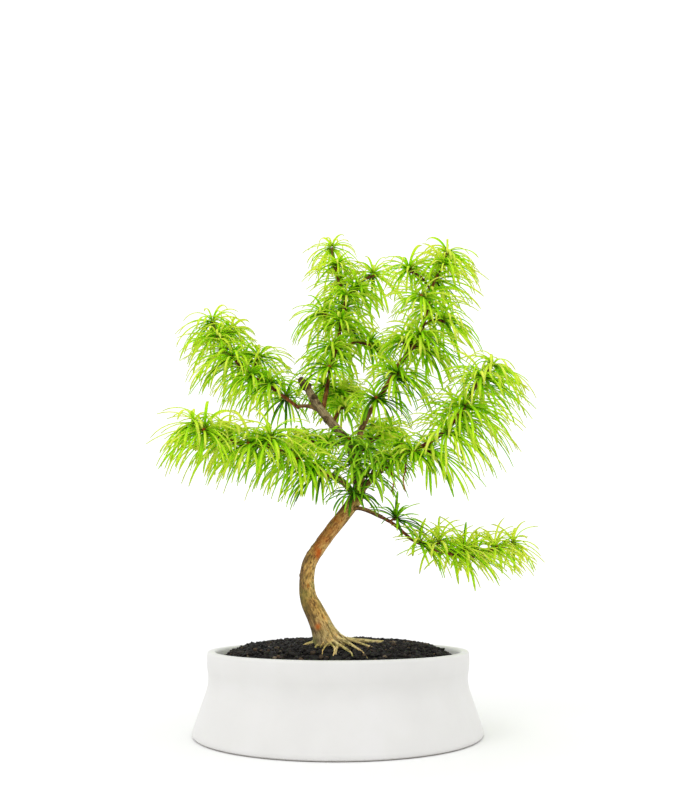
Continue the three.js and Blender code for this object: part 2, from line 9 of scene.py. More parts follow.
import bpy
import numpy as np
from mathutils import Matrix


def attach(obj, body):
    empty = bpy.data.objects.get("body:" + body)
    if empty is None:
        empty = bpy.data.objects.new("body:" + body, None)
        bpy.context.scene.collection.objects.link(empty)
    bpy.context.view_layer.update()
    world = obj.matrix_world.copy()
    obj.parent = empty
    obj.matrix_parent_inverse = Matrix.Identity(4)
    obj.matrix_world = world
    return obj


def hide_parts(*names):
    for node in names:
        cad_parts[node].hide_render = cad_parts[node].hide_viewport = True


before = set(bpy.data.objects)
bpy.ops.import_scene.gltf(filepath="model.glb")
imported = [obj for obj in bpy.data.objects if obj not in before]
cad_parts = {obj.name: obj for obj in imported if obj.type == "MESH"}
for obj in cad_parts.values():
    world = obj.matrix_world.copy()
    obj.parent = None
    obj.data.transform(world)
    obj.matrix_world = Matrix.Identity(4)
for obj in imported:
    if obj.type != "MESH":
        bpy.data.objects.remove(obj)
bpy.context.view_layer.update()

MM = 0.001
POT_AXIS = np.array([-9.0, 0.0, 0.0])  # where the frame has the pot's axis
UP = np.array([0.0, 0.0, 1.0])
GOLDEN_TURN = math.pi * (3 - math.sqrt(5))
NO_QUADS, NO_TRIANGLES = np.zeros((0, 4), int), np.zeros((0, 3), int)
POLE_RISE = 0.3  # how far the ends of a bar stand out, as a share of its radius

# Pot: radius, height and the length that is rounded off at each corner of the turned outline
POT_OUTLINE = [
    (91.2, 0.0, 0.0), (101.4, 0.0, 0.5), (102.7, 0.8, 0.5), (103.2, 2.6, 1.5), (92.6, 35.5, 7.0),
    (95.0, 47.5, 5.0), (94.9, 56.4, 1.9), (88.9, 56.4, 2.3), (85.8, 35.5, 6.0),
    (93.7, 13.0, 3.0), (90.7, 8.0, 1.5), (10.0, 8.0, 0.6), (10.0, 3.0, 0.6), (89.7, 3.0, 0.6),
]
POT_SIDES = 144

# Soil: height of the mound at distances from the axis, and the outline of the rest of its body
SOIL_RADII = [0, 45, 66, 78, 87.5]
SOIL_HEIGHTS = [62.6, 61.8, 59.4, 55, 49.5]
SOIL_REST = [(85.5, 35.5), (92.9, 13.2), (90.0, 8.4), (13.9, 8.4), (13.9, 9.9), (0.5, 9.9)]
SOIL_EDGE = 86.6
SOIL_RINGS, SOIL_SIDES = 70, 150
SOIL_SINK = 0.6
# Relief as layers of noise, here and on the bark: height, lattice size and shift
SOIL_CRUMBS = [(0.9, 9, 0), (0.7, 3.4, 40), (0.5, 1.9, 80)]
GRAINS = 3000
GRAIN_MARGIN = 2.5

# Woody tree: centre lines [x, y, z, radius]
TRUNK = [
    (-2, -38, 40, 7), (-4, -38, 54, 10.5), (-7, -38, 63, 10), (-11, -36, 73, 8), (-16, -33, 83, 6.8),
    (-21, -30, 92, 6.1), (-23, -26, 104, 5.6), (-21, -21, 118, 5.4), (-14, -16, 130, 5.2),
    (-4, -11, 144, 5.2), (6, -6, 157, 5.3), (15, -1, 171, 5.3), (15, 1, 186, 4.5), (12, 3, 201, 4),
    (4, 5, 215, 3.7), (-7, 7, 229, 3.5), (-17, 9, 242, 3.6), (-24, 11, 254, 3.3), (-29, 12, 263, 3.1),
]
LIMBS = {
    "upper_right": [(14, 1, 188, 2.6), (14, -1, 202, 2.5), (16, -2, 216, 2.4), (21, -5, 229, 2.3),
                    (26, -7, 237, 2.1)],
    "right": [(14, -1, 168, 2.8), (19, -3, 175, 2.5), (26, -6, 182, 2.3), (34, -10, 189, 2.1)],
    "left": [(12, -3, 165, 2.8), (8, -6, 174, 2.6), (1, -10, 180, 2.4), (-7, -14, 183, 2.2)],
    "low_right": [(6, -7, 158, 2), (14, -8, 159, 1.7), (22, -9, 157, 1.6), (33, -8, 152, 1.5)],
    "far_left": [(-14, 9, 238, 2.2), (-20, 10, 241, 1.7), (-27, 12, 243, 1.6), (-34, 15, 243, 1.5)],
}
# Surface roots: compass angle in degrees, reach, radius and height above the soil at the start
ROOTS = [
    (-14, 42, 1.2, 12), (-38, 36, 1.1, 15), (-66, 46, 1.1, 12), (-94, 40, 1.0, 8), (-132, 16, 1.3, 5),
    (176, 22, 1.8, 7), (98, 30, 2.0, 6), (32, 66, 1.8, 5), (-53, 52, 1.1, 16), (-77, 38, 0.8, 14),
    (-84, 43, 0.9, 10), (-30, 25, 0.8, 15), (-106, 24, 0.7, 11), (-4, 18, 0.8, 13), (-47, 26, 0.7, 17),
    (-60, 20, 0.6, 18), (-71, 30, 0.7, 17), (-100, 17, 0.6, 14),
]
# Dead shoots that hang from the right branch
HANGING_SHOOTS = [
    [(37.5, -12, 192), (38.2, -24, 188), (38.5, -33, 180), (39.8, -35, 174), (38.0, -35, 168)],
    [(47, -16.5, 197), (48.8, -27, 192), (48.6, -35, 184), (46.6, -37, 177), (47.9, -37, 168)],
]
# Rusty patches on the trunk: [x, y, z, size, strength]
RUST = [
    (-14, -24, 122.5, 3.0, 1.1), (-14.5, -24, 127, 3.2, 1.2), (-14.5, -23, 131.5, 2.8, 1.0),
    (-8, -21, 138, 9, 0.5), (1, -16, 150, 8, 0.5), (-14, -43, 74.5, 2.0, 1.0), (-21, -26, 101, 2.2, 0.6),
]
# Knobs where shoots of the old leader were cut off: [x, y, z, radius]
KNOBS = [
    [(-27, 12, 259, 3.4), (-29, 10, 262, 3.6), (-31.5, 9, 265.5, 2.6)], [(-26, 11, 257, 3.0), (-24, 7, 260, 2.2)],
    [(-21, 10, 248, 3.2), (-19, 6, 250, 2.0)], [(-9, 7, 231, 3.2), (-12, 4, 230, 2.0)],
    [(3, 5, 216, 3.2), (5, 2, 219, 1.9)],
]
SKIN_VOXEL = 0.55
GRAIN_STRETCH = [1, 1, 0.3]
BARK_LAYERS = [(0.45, 5, 0), (0.25, 2.2, 50), (0.12, 1.1, 90)]
# Scars: how many, the share of the trunk where they start and that they cover, their size and height
SCARS = 34
SCARS_FROM, SCARRED = 0.28, 0.7
SCAR_SIZE, SCAR_HEIGHT = 1.3, 0.55
# Heights above the soil up to which the foot is cream and mossy, and where the lichen is on the trunk
COLLAR, MOSS_LINE = 17, 16
LICHEN_AT, LICHEN_REACH = 104, 20

# Leafy branches: stem, its radius at both ends, needle length, and the point that each spur reaches. Some
# spurs, by number, are short, shaded or facing the viewer
BRANCHES = {
    "branch_far_left": {
        "stem": [(-34, 15, 243), (-46, 19, 253), (-59, 23, 263), (-74, 27, 273), (-91, 32, 290), (-103, 38, 308),
            (-110, 42, 325)],
        "radius": (1.5, 0.9), "needle": 36, "tip": 1.0,
        "spurs": [(-104, 32, 308), (-94, 44, 317), (-89, 24, 287), (-100, 48, 301), (-68, 34, 290), (-73, 21, 270),
            (-83, 44, 286), (-56, 18, 262), (-64, 38, 270), (-44, 25, 253)],
    },
    "branch_top_left": {
        "stem": [(-13, 9, 240), (-11, 13, 252), (-7, 18, 277), (-1, 22, 302), (2, 26, 326), (5, 29, 343),
            (0, 31, 356), (-6, 34, 377), (-7, 36, 392)],
        "radius": (1.9, 0.9), "needle": 33, "facing": (11,),
        "spurs": [(-2, 27, 372), (1, 40, 362), (29, 31, 365), (15, 26, 350), (5, 21, 341), (-14, 26, 327),
            (1, 15, 316), (11, 35, 315), (5, 42, 338), (26, 24, 300), (-6, 15, 293), (-8, 5, 273), (-2, 37, 298),
            (-12, 29, 264)],
    },
    "branch_top_right": {
        "stem": [(26, -7, 237), (29, -8, 242), (39, -11, 257), (47, -13, 271), (58, -15, 285), (66, -17, 302),
            (70, -18, 317), (72, -19, 327), (76, -20, 339), (83, -21, 351), (86, -22, 362)],
        "radius": (2.1, 0.9), "needle": 36, "facing": (3, 12),
        "spurs": [(82, -28, 349), (56, -13, 351), (78, -11, 342), (64, -26, 322), (71, -5, 320), (82, -20, 305),
            (51, -13, 289), (62, -26, 291), (69, -6, 285), (57, 1, 295), (45, -19, 261), (43, 0, 264),
            (28, -18, 242)],
    },
    "branch_right": {
        "stem": [(34, -10, 189), (46, -16, 198), (57, -21, 201), (68, -26, 207), (79, -30, 214), (87, -33, 223),
            (94, -36, 232), (102, -40, 247), (114, -46, 261)],
        "radius": (2.1, 1), "needle": 42, "short": (7, 8, 9), "facing": (8,), "dead": HANGING_SHOOTS,
        "spurs": [(104, -49, 251), (105, -31, 249), (92, -44, 230), (88, -24, 224), (80, -38, 211), (92, -18, 231),
            (69, -17, 201), (55, -29, 198), (48, -8, 207), (40, -20, 195)],
    },
    "branch_left": {
        "stem": [(-7, -14, 183), (-20, -20, 186), (-33, -28, 193), (-50, -38, 200), (-71, -44, 201),
            (-81, -47, 204), (-97, -51, 209), (-104, -54, 214)],
        "radius": (2, 1), "needle": 38, "facing": (0, 4),
        "spurs": [(-95, -60, 208), (-81, -39, 206), (-91, -35, 210), (-64, -50, 200), (-49, -51, 204),
            (-58, -26, 204), (-37, -23, 199), (-30, -37, 191), (-19, -27, 187), (-13, -8, 186)],
    },
    "branch_inner_left": {
        "stem": [(7, 5, 211), (-1, 9, 211), (-9, 13, 212), (-25, 22, 216), (-36, 28, 221)],
        "radius": (1.3, 0.8), "needle": 22,
        "spurs": [(-25, 15, 216), (-17, 26, 218), (-8, 8, 213)],
    },
    "branch_low_right": {
        "stem": [(33, -8, 152), (42, -5, 147), (56, 0, 136), (70, 4, 130), (84, 8, 126), (105, 14, 124),
            (123, 20, 130), (138, 25, 135)],
        "radius": (1.4, 0.9), "needle": 31, "droop": 0.62, "bright": 0.15, "rosette": 27, "shaded": (9,),
        "upright": [((43, -8, 152), 20.0), ((96, 4, 129), 21.0)],
        "spurs": [(124, 28, 132), (121, 13, 131), (107, 14, 128), (96, 4, 128), (101, 22, 127), (88, 16, 129),
            (76, -1, 134), (71, 12, 132), (61, -6, 134), (43, -8, 151)],
    },
    "branch_back_right": {
        "stem": [(13, 3, 199), (20, 12, 208), (29, 30, 219), (38, 50, 228), (46, 72, 239)],
        "radius": (1.6, 0.9), "needle": 25,
        "spurs": [(35, 39, 226), (44, 62, 234), (26, 31, 220), (29, 55, 236)],
    },
    "branch_back": {
        "stem": [(-5, 8, 228), (-1, 22, 240), (4, 42, 255), (6, 64, 275)],
        "radius": (1.6, 0.9), "needle": 25,
        "spurs": [(0, 37, 259), (-2, 56, 263), (9, 50, 265), (3, 26, 245)],
    },
}
# Tufts straight on old wood: for each spur the point on the wood and the point that it reaches, then the
# needle length and the brightness
TUFTS = {
    "tuft_crotch": ([((8, -5, 159), (11, -15, 169))], 25, 0.35),
    "tuft_fork": ([((15, 1, 180), (22, -7, 184)), ((14, -2, 186), (10, -13, 192)), ((15, -1, 196), (20, -12, 204)),
                   ((24, -6, 181), (27, -17, 190))], 30, 0.8),
    "tuft_leader": ([((8, 4, 208), (8, -5, 212))], 26, 0.8),
}

# Stems and spurs: steps along their lines, sides of their bars and relief of the stems
COARSE_STEP, FINE_STEP, SPUR_STEP, SHOOT_STEP = 11, 1.6, 0.7, 1.2
STEM_SIDES, SPUR_SIDES = 12, 9
STEM_KNOTS = [(0.22, 2.6, 0), (0.1, 1.1, 0)]
STEM_SUNK = 2.0
LONG_SPUR = 10.0
SHORTENED = 0.55
YEAR_RING = 1.7
BUD_LENGTH = 2.6
BUD_RADIUS = 1.2

# Needles: width and thickness, and how they bend
NEEDLE_WIDTH = 2.05
NEEDLE_THICKNESS = 0.75
NEEDLE_STEPS = 8
BEND = 1.15
HIGH_BEND = 0.55
LOW_RISE = 0.45
STEEPEST = 1.35
OUTWARD_GAIN = 0.2
CROWN_CENTRE = np.array([10.0, 0.0, 0.0])
TIP_VIGOUR = 0.8
TIP_YELLOWING = 0.6
# Width along a needle: a short stalk, full width from a fifth on, and a blunt tip
TAPER_AT = [0, 0.06, 0.2, 0.5, 0.75, 0.9, 1]
TAPER = [0.55, 0.75, 0.95, 1, 0.97, 0.82, 0.34]
# Rosettes: needles in each, the angles off the axis between which they stand, and the length that each gives
ROSETTE_NEEDLES, TIP_NEEDLES, TUFT_NEEDLES = 39, 30, 30
ROSETTE_FROM, TIP_FROM, ROSETTE_TO = 28, 50, 104
REACH_AT, REACH = [25, 50, 78, 100], [0.66, 0.86, 0.96, 1.0]
# Some spurs at the front face the viewer, so that the bud shows in the middle of its rosette
FACING = np.array([0.0, -1.1, 0.0])
OPEN_CENTRE = 44
# Single needles: stretch of the line, reach as a share of full length, and brightness
SHOOT_NEEDLES = 10
STEM_NEEDLE_GAP = 4.6
TIP_SPRAY = (0.72, 0.98), (0.4, 0.6), 0.65
STEM_SPRAY = (0.25, 0.95), (0.34, 0.6), 0.35
SPRIG_SPRAY = (0.2, 0.9), (0.3, 0.55), 0.4

# Camera: focal length and height of the photo in pixels, sensor in mm, and its place across and up in metres
FOCAL, PHOTO_HEIGHT = 780, 800
SENSOR = 36
CAMERA_AWAY, CAMERA_HEIGHT = -0.6, 0.0988
CAMERA_PITCH = math.radians(13.7)
CAMERA_YAW = math.atan(11 / FOCAL)


def jitter(index):
    """Repeatable numbers from 0 to 1: the fraction of a large multiple of the sine of each index."""
    value = np.sin(np.asarray(index, float) * 12.9898 + 4.1) * 43758.5453
    return value - np.floor(value)


def noise(points, size):
    """Smooth field from -1 to 1: a jitter value at each corner of a lattice of that size, blended between
    the corners by the smooth step 3f^2 - 2f^3."""
    place = np.asarray(points, float) / size
    cell = np.floor(place)
    step = place - cell
    step = step * step * (3 - 2 * step)
    total = np.zeros(len(place))
    for corner in np.ndindex(2, 2, 2):
        weight = np.prod(np.where(np.array(corner) == 1, step, 1 - step), axis=1)
        total += weight * jitter((cell + corner) @ np.array([1.0, 57.3, 113.7]))
    return 2 * total - 1


def layered(points, layers):
    """Sum of smooth fields, each with its height, its lattice size and the shift that sets it apart."""
    return sum(height * noise(points + shift, size) for height, size, shift in layers)


def patchy(points, level, contrast, size):
    """Share from 0 to 1 that comes and goes over the points in patches of that size."""
    return np.clip(level + contrast * noise(points, size), 0, 1)


def span(vectors):
    """Lengths of vectors, whose parts lie on the last axis."""
    return np.linalg.norm(vectors, axis=-1)


def unit(vectors):
    """Vectors divided by their lengths."""
    vectors = np.asarray(vectors, float)
    return vectors / np.maximum(np.linalg.norm(vectors, axis=-1, keepdims=True), 1e-9)


def out_of_crown(point):
    """Level direction from the middle of the crown to a point."""
    away = np.asarray(point, float) - CROWN_CENTRE
    return unit(away * [1, 1, 0])


def lengths_along(line):
    """Length of a line up to each of its points."""
    return np.r_[0, np.cumsum(span(np.diff(line, axis=0)))]


def rotated(a, b, angle):
    """Two coordinates or vectors turned by an angle: a cos - b sin and a sin + b cos."""
    return a * np.cos(angle) - b * np.sin(angle), a * np.sin(angle) + b * np.cos(angle)


def smooth_line(controls, step):
    """Centripetal Catmull-Rom curve: a cubic between each two control points, whose end tangents follow
    from the square roots of the distances to the neighbours. It is read off at even steps of length."""
    p = np.asarray(controls, float)[:, :3]
    q = np.vstack([2 * p[0] - p[1], p, 2 * p[-1] - p[-2]])
    d = np.diff(q, axis=0)
    gap = np.sqrt(span(d))[:, None]
    before, own, after = gap[:-2], gap[1:-1], gap[2:]
    start = own * (d[:-2] / before - (q[2:-1] - q[:-3]) / (before + own) + d[1:-1] / own)
    finish = own * (d[1:-1] / own - (q[3:] - q[1:-2]) / (own + after) + d[2:] / after)
    t = np.arange(0, 1, 1 / 40)[None, :, None]
    dense = ((2 * t**3 - 3 * t**2 + 1) * q[1:-2, None] + (t**3 - 2 * t**2 + t) * start[:, None]
             + (3 * t**2 - 2 * t**3) * q[2:-1, None] + (t**3 - t**2) * finish[:, None])
    dense = np.vstack([dense.reshape(-1, 3), p[-1]])
    lengths = lengths_along(dense)
    even = np.linspace(0, lengths[-1], max(4, round(lengths[-1] / step)) + 1)
    return np.stack([np.interp(even, lengths, dense[:, k]) for k in range(3)], axis=1)


def radius_along(controls, count):
    """Radius at `count` even shares of a line, read off between its control points."""
    p = np.asarray(controls, float)
    lengths = lengths_along(p[:, :3])
    return np.interp(np.linspace(0, lengths[-1], count), lengths, p[:, 3])


def frames(line):
    """Tangent, side and second side at each point of a line. The side is the coordinate axis that the line
    runs along least, made square to the tangent."""
    along = unit(np.gradient(line, axis=0))
    axis = np.eye(3)[np.argmin(np.abs(along).max(axis=0))]
    side = unit(axis - (along @ axis)[:, None] * along)
    return along, side, np.cross(along, side)


def joined(shapes):
    """Several shapes as one. A shape is (points, four-cornered faces, three-cornered faces, marks)."""
    shift = np.cumsum([0] + [len(s[0]) for s in shapes[:-1]])
    points = np.vstack([s[0] for s in shapes])
    quads = np.vstack([s[1].reshape(-1, 4) + k for s, k in zip(shapes, shift)])
    triangles = np.vstack([s[2].reshape(-1, 3) + k for s, k in zip(shapes, shift)])
    marks = {name: np.concatenate([s[3][name] for s in shapes]) for name in shapes[0][3]}
    return points, quads, triangles, marks


def grid_faces(rows, columns):
    """Faces between neighbouring rows of a grid that closes on itself from side to side."""
    row, column = np.meshgrid(np.arange(rows - 1), np.arange(columns), indexing="ij")
    after = (column + 1) % columns
    faces = [row * columns + column, row * columns + after, (row + 1) * columns + after, (row + 1) * columns + column]
    return np.stack(faces, axis=-1).reshape(-1, 4)


def poles(rows, columns):
    """Triangles that close a grid's first and last row on two poles, whose numbers follow the grid's."""
    column = np.arange(columns)
    after = (column + 1) % columns
    pole, last = rows * columns, (rows - 1) * columns
    return np.vstack([np.stack([np.full(columns, pole), after, column], axis=1),
                      np.stack([np.full(columns, pole + 1), last + column, last + after], axis=1)])


def tube(line, radius, sides):
    """Round bar carried along a line: at each point a ring of radius r, r cos(a) along the one side and
    r sin(a) along the other. Both ends close on a pole. Its mark is the share along the line."""
    along, side, other = frames(line)
    angle = np.linspace(0, 2 * math.pi, sides, endpoint=False)
    ring = np.cos(angle)[None, :, None] * side[:, None] + np.sin(angle)[None, :, None] * other[:, None]
    rows = line[:, None] + np.asarray(radius)[:, None, None] * ring
    count = len(line)
    points = np.vstack([rows.reshape(-1, 3), line[0] - along[0] * radius[0] * POLE_RISE,
                        line[-1] + along[-1] * radius[-1] * POLE_RISE])
    share = np.r_[np.repeat(np.linspace(0, 1, count), sides), 0, 1]
    return points, grid_faces(count, sides), poles(count, sides), {"share": share}


def new_mesh(name, shape, smooth=True):
    """Blender mesh of a shape, moved into the frame; its marks become point attributes."""
    points, quads, triangles, marks = shape
    corners = np.concatenate([quads.ravel(), triangles.ravel()])
    starts = np.concatenate([np.arange(len(quads)) * 4, len(quads) * 4 + np.arange(len(triangles)) * 3])
    mesh = bpy.data.meshes.new(name)
    mesh.vertices.add(len(points))
    mesh.vertices.foreach_set("co", ((points + POT_AXIS) * MM).ravel())
    mesh.loops.add(len(corners))
    mesh.loops.foreach_set("vertex_index", corners.astype(np.int32))
    mesh.polygons.add(len(starts))
    mesh.polygons.foreach_set("loop_start", starts.astype(np.int32))
    mesh.polygons.foreach_set("use_smooth", np.full(len(starts), smooth))
    mesh.update(calc_edges=True)
    for mark, values in marks.items():
        kind, field = ("FLOAT_VECTOR", "vector") if values.ndim == 2 else ("FLOAT", "value")
        mesh.attributes.new(mark, kind, "POINT").data.foreach_set(field, values.astype(np.float32).ravel())
    return mesh


def new_object(name, data):
    """Object of a mesh, lamp or camera, linked to the scene."""
    holder = bpy.data.objects.new(name, data)
    bpy.context.scene.collection.objects.link(holder)
    return holder


def new_piece(name, shape, material, slot, *nodes, smooth=True):
    """Object of a shape that rides on the one body and stands for CAD nodes."""
    mesh = new_mesh(name, shape, smooth)
    mesh.materials.append(material)
    piece = new_object(name, mesh)
    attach(piece, "root")
    if nodes:
        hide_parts(*nodes)


def linear(colour):
    """sRGB hex colour as linear red, green, blue and full alpha."""
    parts = [int(colour[k:k + 2], 16) / 255 for k in (1, 3, 5)]
    return (*[c / 12.92 if c <= 0.04045 else ((c + 0.055) / 1.055) ** 2.4 for c in parts], 1.0)


def new_material(name):
    """Material with an empty node tree, and the socket that takes its shader."""
    material = bpy.data.materials.new(name)
    material.use_nodes = True
    tree = material.node_tree
    tree.nodes.clear()
    return material, tree, tree.nodes.new("ShaderNodeOutputMaterial").inputs["Surface"]


def add_node(tree, kind, links=None, values=None, stops=None, output=0, **settings):
    """Adds a shader node with its settings, its sockets' values, its links from other sockets, and for a
    colour ramp its stops as (position, hex colour). Returns one of its outputs, by number or name."""
    node = tree.nodes.new("ShaderNode" + kind)
    for key, value in settings.items():
        setattr(node, key, value)
    for key, value in (values or {}).items():
        node.inputs[key].default_value = value
    for key, source in (links or {}).items():
        tree.links.new(source, node.inputs[key])
    if stops:
        elements = node.color_ramp.elements
        while len(elements) < len(stops):
            elements.new(0.5)
        for element, (position, colour) in zip(elements, stops):
            element.position = position
            element.color = linear(colour)
    return node.outputs[output]


def rough_shader(tree, colour, roughness, height, strength, depth, **values):
    """Shader of a solid surface whose relief is a height pattern of that strength and depth in millimetres."""
    relief = add_node(tree, "Bump", {"Height": height}, {"Strength": strength, "Distance": depth * MM})
    return add_node(tree, "BsdfPrincipled", {"Base Color": colour, "Roughness": roughness, "Normal": relief}, values)


def per_metre(millimetres):
    """Scale of a pattern whose features are that far apart, on coordinates in metres."""
    return 1 / (millimetres * MM)


def glazed_stoneware():
    """White stoneware, thrown and dipped in a satin glaze. The glaze gives a soft sheen with long, faint
    waves, a barely warmer tone where it is thin, and pinhead specks of the body under it. The foot ring
    and the underside up to 1 mm are unglazed biscuit, matt and dark grey: partly their own greyer tone,
    partly painted shadow where the pot meets the floor."""
    material, tree, surface = new_material("stoneware_satin_white_glaze")
    place = add_node(tree, "TexCoord", output="Object")
    clouds = add_node(tree, "TexNoise", {"Vector": place}, {"Scale": per_metre(26), "Detail": 3.0})
    tone = add_node(tree, "ValToRGB", {"Fac": clouds},
                    stops=[(0.3, "#D3D2D0"), (0.55, "#D6D5D3"), (0.75, "#D8D7D6")])
    # Specks are 0.5 mm on the real pot and are drawn at 0.9 mm so that they show
    specks = add_node(tree, "TexVoronoi", {"Vector": place}, {"Scale": per_metre(7), "Randomness": 1.0})
    speck = add_node(tree, "MapRange", {"Value": specks},
                     {"From Min": 0.03, "From Max": 0.07, "To Min": 0.2, "To Max": 0.0})
    height = add_node(tree, "SeparateXYZ", {"Vector": place}, output="Z")
    # Painted shadow in part: the bottom millimetre takes the dark grey #A5A19C of bare biscuit, darkened to stand for
    # the contact shadow on the floor
    bare_foot_contact_shade = add_node(tree, "MapRange", {"Value": height},
                    {"From Min": 0.7 * MM, "From Max": 1.0 * MM, "To Min": 1.0, "To Max": 0.0})
    colour = tone
    for share, hue in ((speck, "#C9C3BB"), (bare_foot_contact_shade, "#A5A19C")):
        colour = add_node(tree, "Mix", {0: share, 6: colour}, {7: linear(hue)}, output=2, data_type="RGBA")
    sheen = add_node(tree, "MapRange", {"Value": clouds}, {"To Min": 0.34, "To Max": 0.5})
    rough = add_node(tree, "Math", {0: sheen, 1: bare_foot_contact_shade}, operation="MAXIMUM")
    waves = add_node(tree, "TexNoise", {"Vector": place}, {"Scale": per_metre(9), "Detail": 2.0})
    shader = rough_shader(tree, colour, rough, waves, 0.15, 0.5, **{"IOR": 1.5, "Specular IOR Level": 0.4})
    tree.links.new(shader, surface)
    return material


def needle_green(name, stops, lit):
    """Young larch needle: a thin soft blade with a waxy satin skin. Light passes through it, so that it glows
    yellow-green against the light; the rib is paler, the stalk yellow, and no two needles have one green."""
    material, tree, surface = new_material(name)
    tint, along, rib = [add_node(tree, "Attribute", output="Fac", attribute_name=mark)
                        for mark in ("tint", "along", "rib")]
    base = add_node(tree, "ValToRGB", {"Fac": tint}, stops=stops)
    ends = add_node(tree, "ValToRGB", {"Fac": along},
                    stops=[(0.0, "#D2DC70"), (0.12, "#000000"), (0.85, "#000000"), (1.0, "#D0E840")])
    share = add_node(tree, "ValToRGB", {"Fac": along},
                     stops=[(0.0, "#C8C8C8"), (0.14, "#000000"), (0.8, "#000000"), (1.0, "#A0A0A0")])
    tipped = add_node(tree, "Mix", {0: share, 6: base, 7: ends}, output=2, data_type="RGBA")
    pale = add_node(tree, "MapRange", {"Value": rib},
                    {"From Min": 0.55, "From Max": 1.0, "To Min": 0.0, "To Max": 0.15})
    colour = add_node(tree, "Mix", {0: pale, 6: tipped}, {7: linear("#D0F060")}, output=2, data_type="RGBA")
    place = add_node(tree, "TexCoord", output="Object")
    # The skin's lines are 0.05 mm apart and are drawn at 0.6 mm
    skin = add_node(tree, "TexNoise", {"Vector": place}, {"Scale": per_metre(0.6), "Detail": 1.0})
    gloss = add_node(tree, "MapRange", {"Value": skin}, {"To Min": 0.45, "To Max": 0.62})
    front = rough_shader(tree, colour, gloss, skin, 0.2, 0.1, **{"IOR": 1.42, "Specular IOR Level": 0.14})
    glow = add_node(tree, "BsdfTranslucent", {"Color": colour})
    tree.links.new(add_node(tree, "MixShader", {1: front, 2: glow}, {0: lit}), surface)
    return material


def larch_bark(name, old_stops, young_stops):
    """Bark of a young larch: thin and tan, with fine lengthwise cracks and rusty and grey-green patches. It is
    cream at the collar and on the roots, grey on the old leader and redder on the twigs. `grain` is the place
    on the straightened stem in millimetres; `cast` holds the shares of cream (real at the collar and roots,
    painted light on the trunk's right side), grey, and dark painted shade on the left side of trunk and limbs,
    and `spots` those of moss, scar and rust or bud."""
    material, tree, surface = new_material(name)
    grain, cast, spots = [add_node(tree, "Attribute", output="Vector", attribute_name=mark)
                          for mark in ("grain", "cast", "spots")]
    youth = add_node(tree, "Attribute", output="Fac", attribute_name="youth")
    cast, spots = [add_node(tree, "SeparateXYZ", {"Vector": mark}).node.outputs for mark in (cast, spots)]
    patches, cracks = [
        add_node(tree, "TexNoise", {"Vector": add_node(tree, "Mapping", {"Vector": grain}, {"Scale": (1, 1, drawn)})},
                 {"Scale": 1 / millimetres, "Detail": detail, "Roughness": rough})
        for drawn, millimetres, detail, rough in ((0.38, 4.0, 6.0, 0.78), (0.3, 1.3, 4.0, 0.75))]
    colour, young, cream, grey = [add_node(tree, "ValToRGB", {"Fac": patches}, stops=stops) for stops in (
        old_stops, young_stops,
        [(0.36, "#958A50"), (0.46, "#D2BA78"), (0.56, "#EEDDA6"), (0.66, "#DCAC60")],
        [(0.38, "#5C4A38"), (0.48, "#A08A6C"), (0.58, "#BBA686"), (0.68, "#8E6A48")])]
    # The cream of cast X is real at the collar and roots, and painted light on the trunk's right side
    for share, tone in ((youth, young), (cast["X"], cream), (cast["Y"], grey)):
        colour = add_node(tree, "Mix", {0: share, 6: colour, 7: tone}, output=2, data_type="RGBA")
    crack = add_node(tree, "MapRange", {"Value": cracks},
                     {"From Min": 0.39, "From Max": 0.52, "To Min": 0.85, "To Max": 0.0})
    # cast Z is painted shade: dark #3E2C1A over the left side of the wood
    for share, hue in ((crack, "#3E2610"), (cast["Z"], "#3E2C1A"), (spots["X"], "#6E7A2C"),
                       (spots["Y"], "#2A1B12"), (spots["Z"], "#B4560A")):
        colour = add_node(tree, "Mix", {0: share, 6: colour}, {7: linear(hue)}, output=2, data_type="RGBA")
    rough = add_node(tree, "MapRange", {"Value": patches}, {"To Min": 0.6, "To Max": 0.9})
    tree.links.new(rough_shader(tree, colour, rough, cracks, 1.0, 0.5, **{"Specular IOR Level": 0.25}), surface)
    return material


def potting_soil(name, stops, crumb_size):
    """Damp potting mix: crumbs of dark peat and fired clay with bits of bark. Nearly black, matt in its
    hollows and faintly wet on its crumbs."""
    material, tree, surface = new_material(name)
    tint = add_node(tree, "Attribute", output="Fac", attribute_name="tint")
    place = add_node(tree, "TexCoord", output="Object")
    crumbs = add_node(tree, "TexNoise", {"Vector": place},
                      {"Scale": per_metre(crumb_size), "Detail": 4.0, "Roughness": 0.65})
    base = add_node(tree, "ValToRGB", {"Fac": tint}, stops=stops)
    shade = add_node(tree, "MapRange", {"Value": crumbs},
                     {"From Min": 0.3, "From Max": 0.7, "To Min": 0.45, "To Max": 1.35})
    colour = add_node(tree, "VectorMath", {0: base, 1: shade}, operation="MULTIPLY")
    rough = add_node(tree, "MapRange", {"Value": crumbs}, {"To Min": 0.95, "To Max": 0.6})
    tree.links.new(rough_shader(tree, colour, rough, crumbs, 0.8, 0.6, **{"Specular IOR Level": 0.3}), surface)
    return material


def moulded_netting():
    """Drainage netting: moulded black polyethylene, slightly dusty, with the fine grain of its mould."""
    material, tree, surface = new_material("polyethylene_moulded_netting")
    place = add_node(tree, "TexCoord", output="Object")
    grain = add_node(tree, "TexNoise", {"Vector": place}, {"Scale": per_metre(1.2), "Detail": 2.0})
    colour = add_node(tree, "ValToRGB", {"Fac": grain}, stops=[(0.35, "#26292A"), (0.7, "#3A3C39")])
    rough = add_node(tree, "MapRange", {"Value": grain}, {"To Min": 0.45, "To Max": 0.7})
    tree.links.new(rough_shader(tree, colour, rough, grain, 0.3, 0.2), surface)
    return material


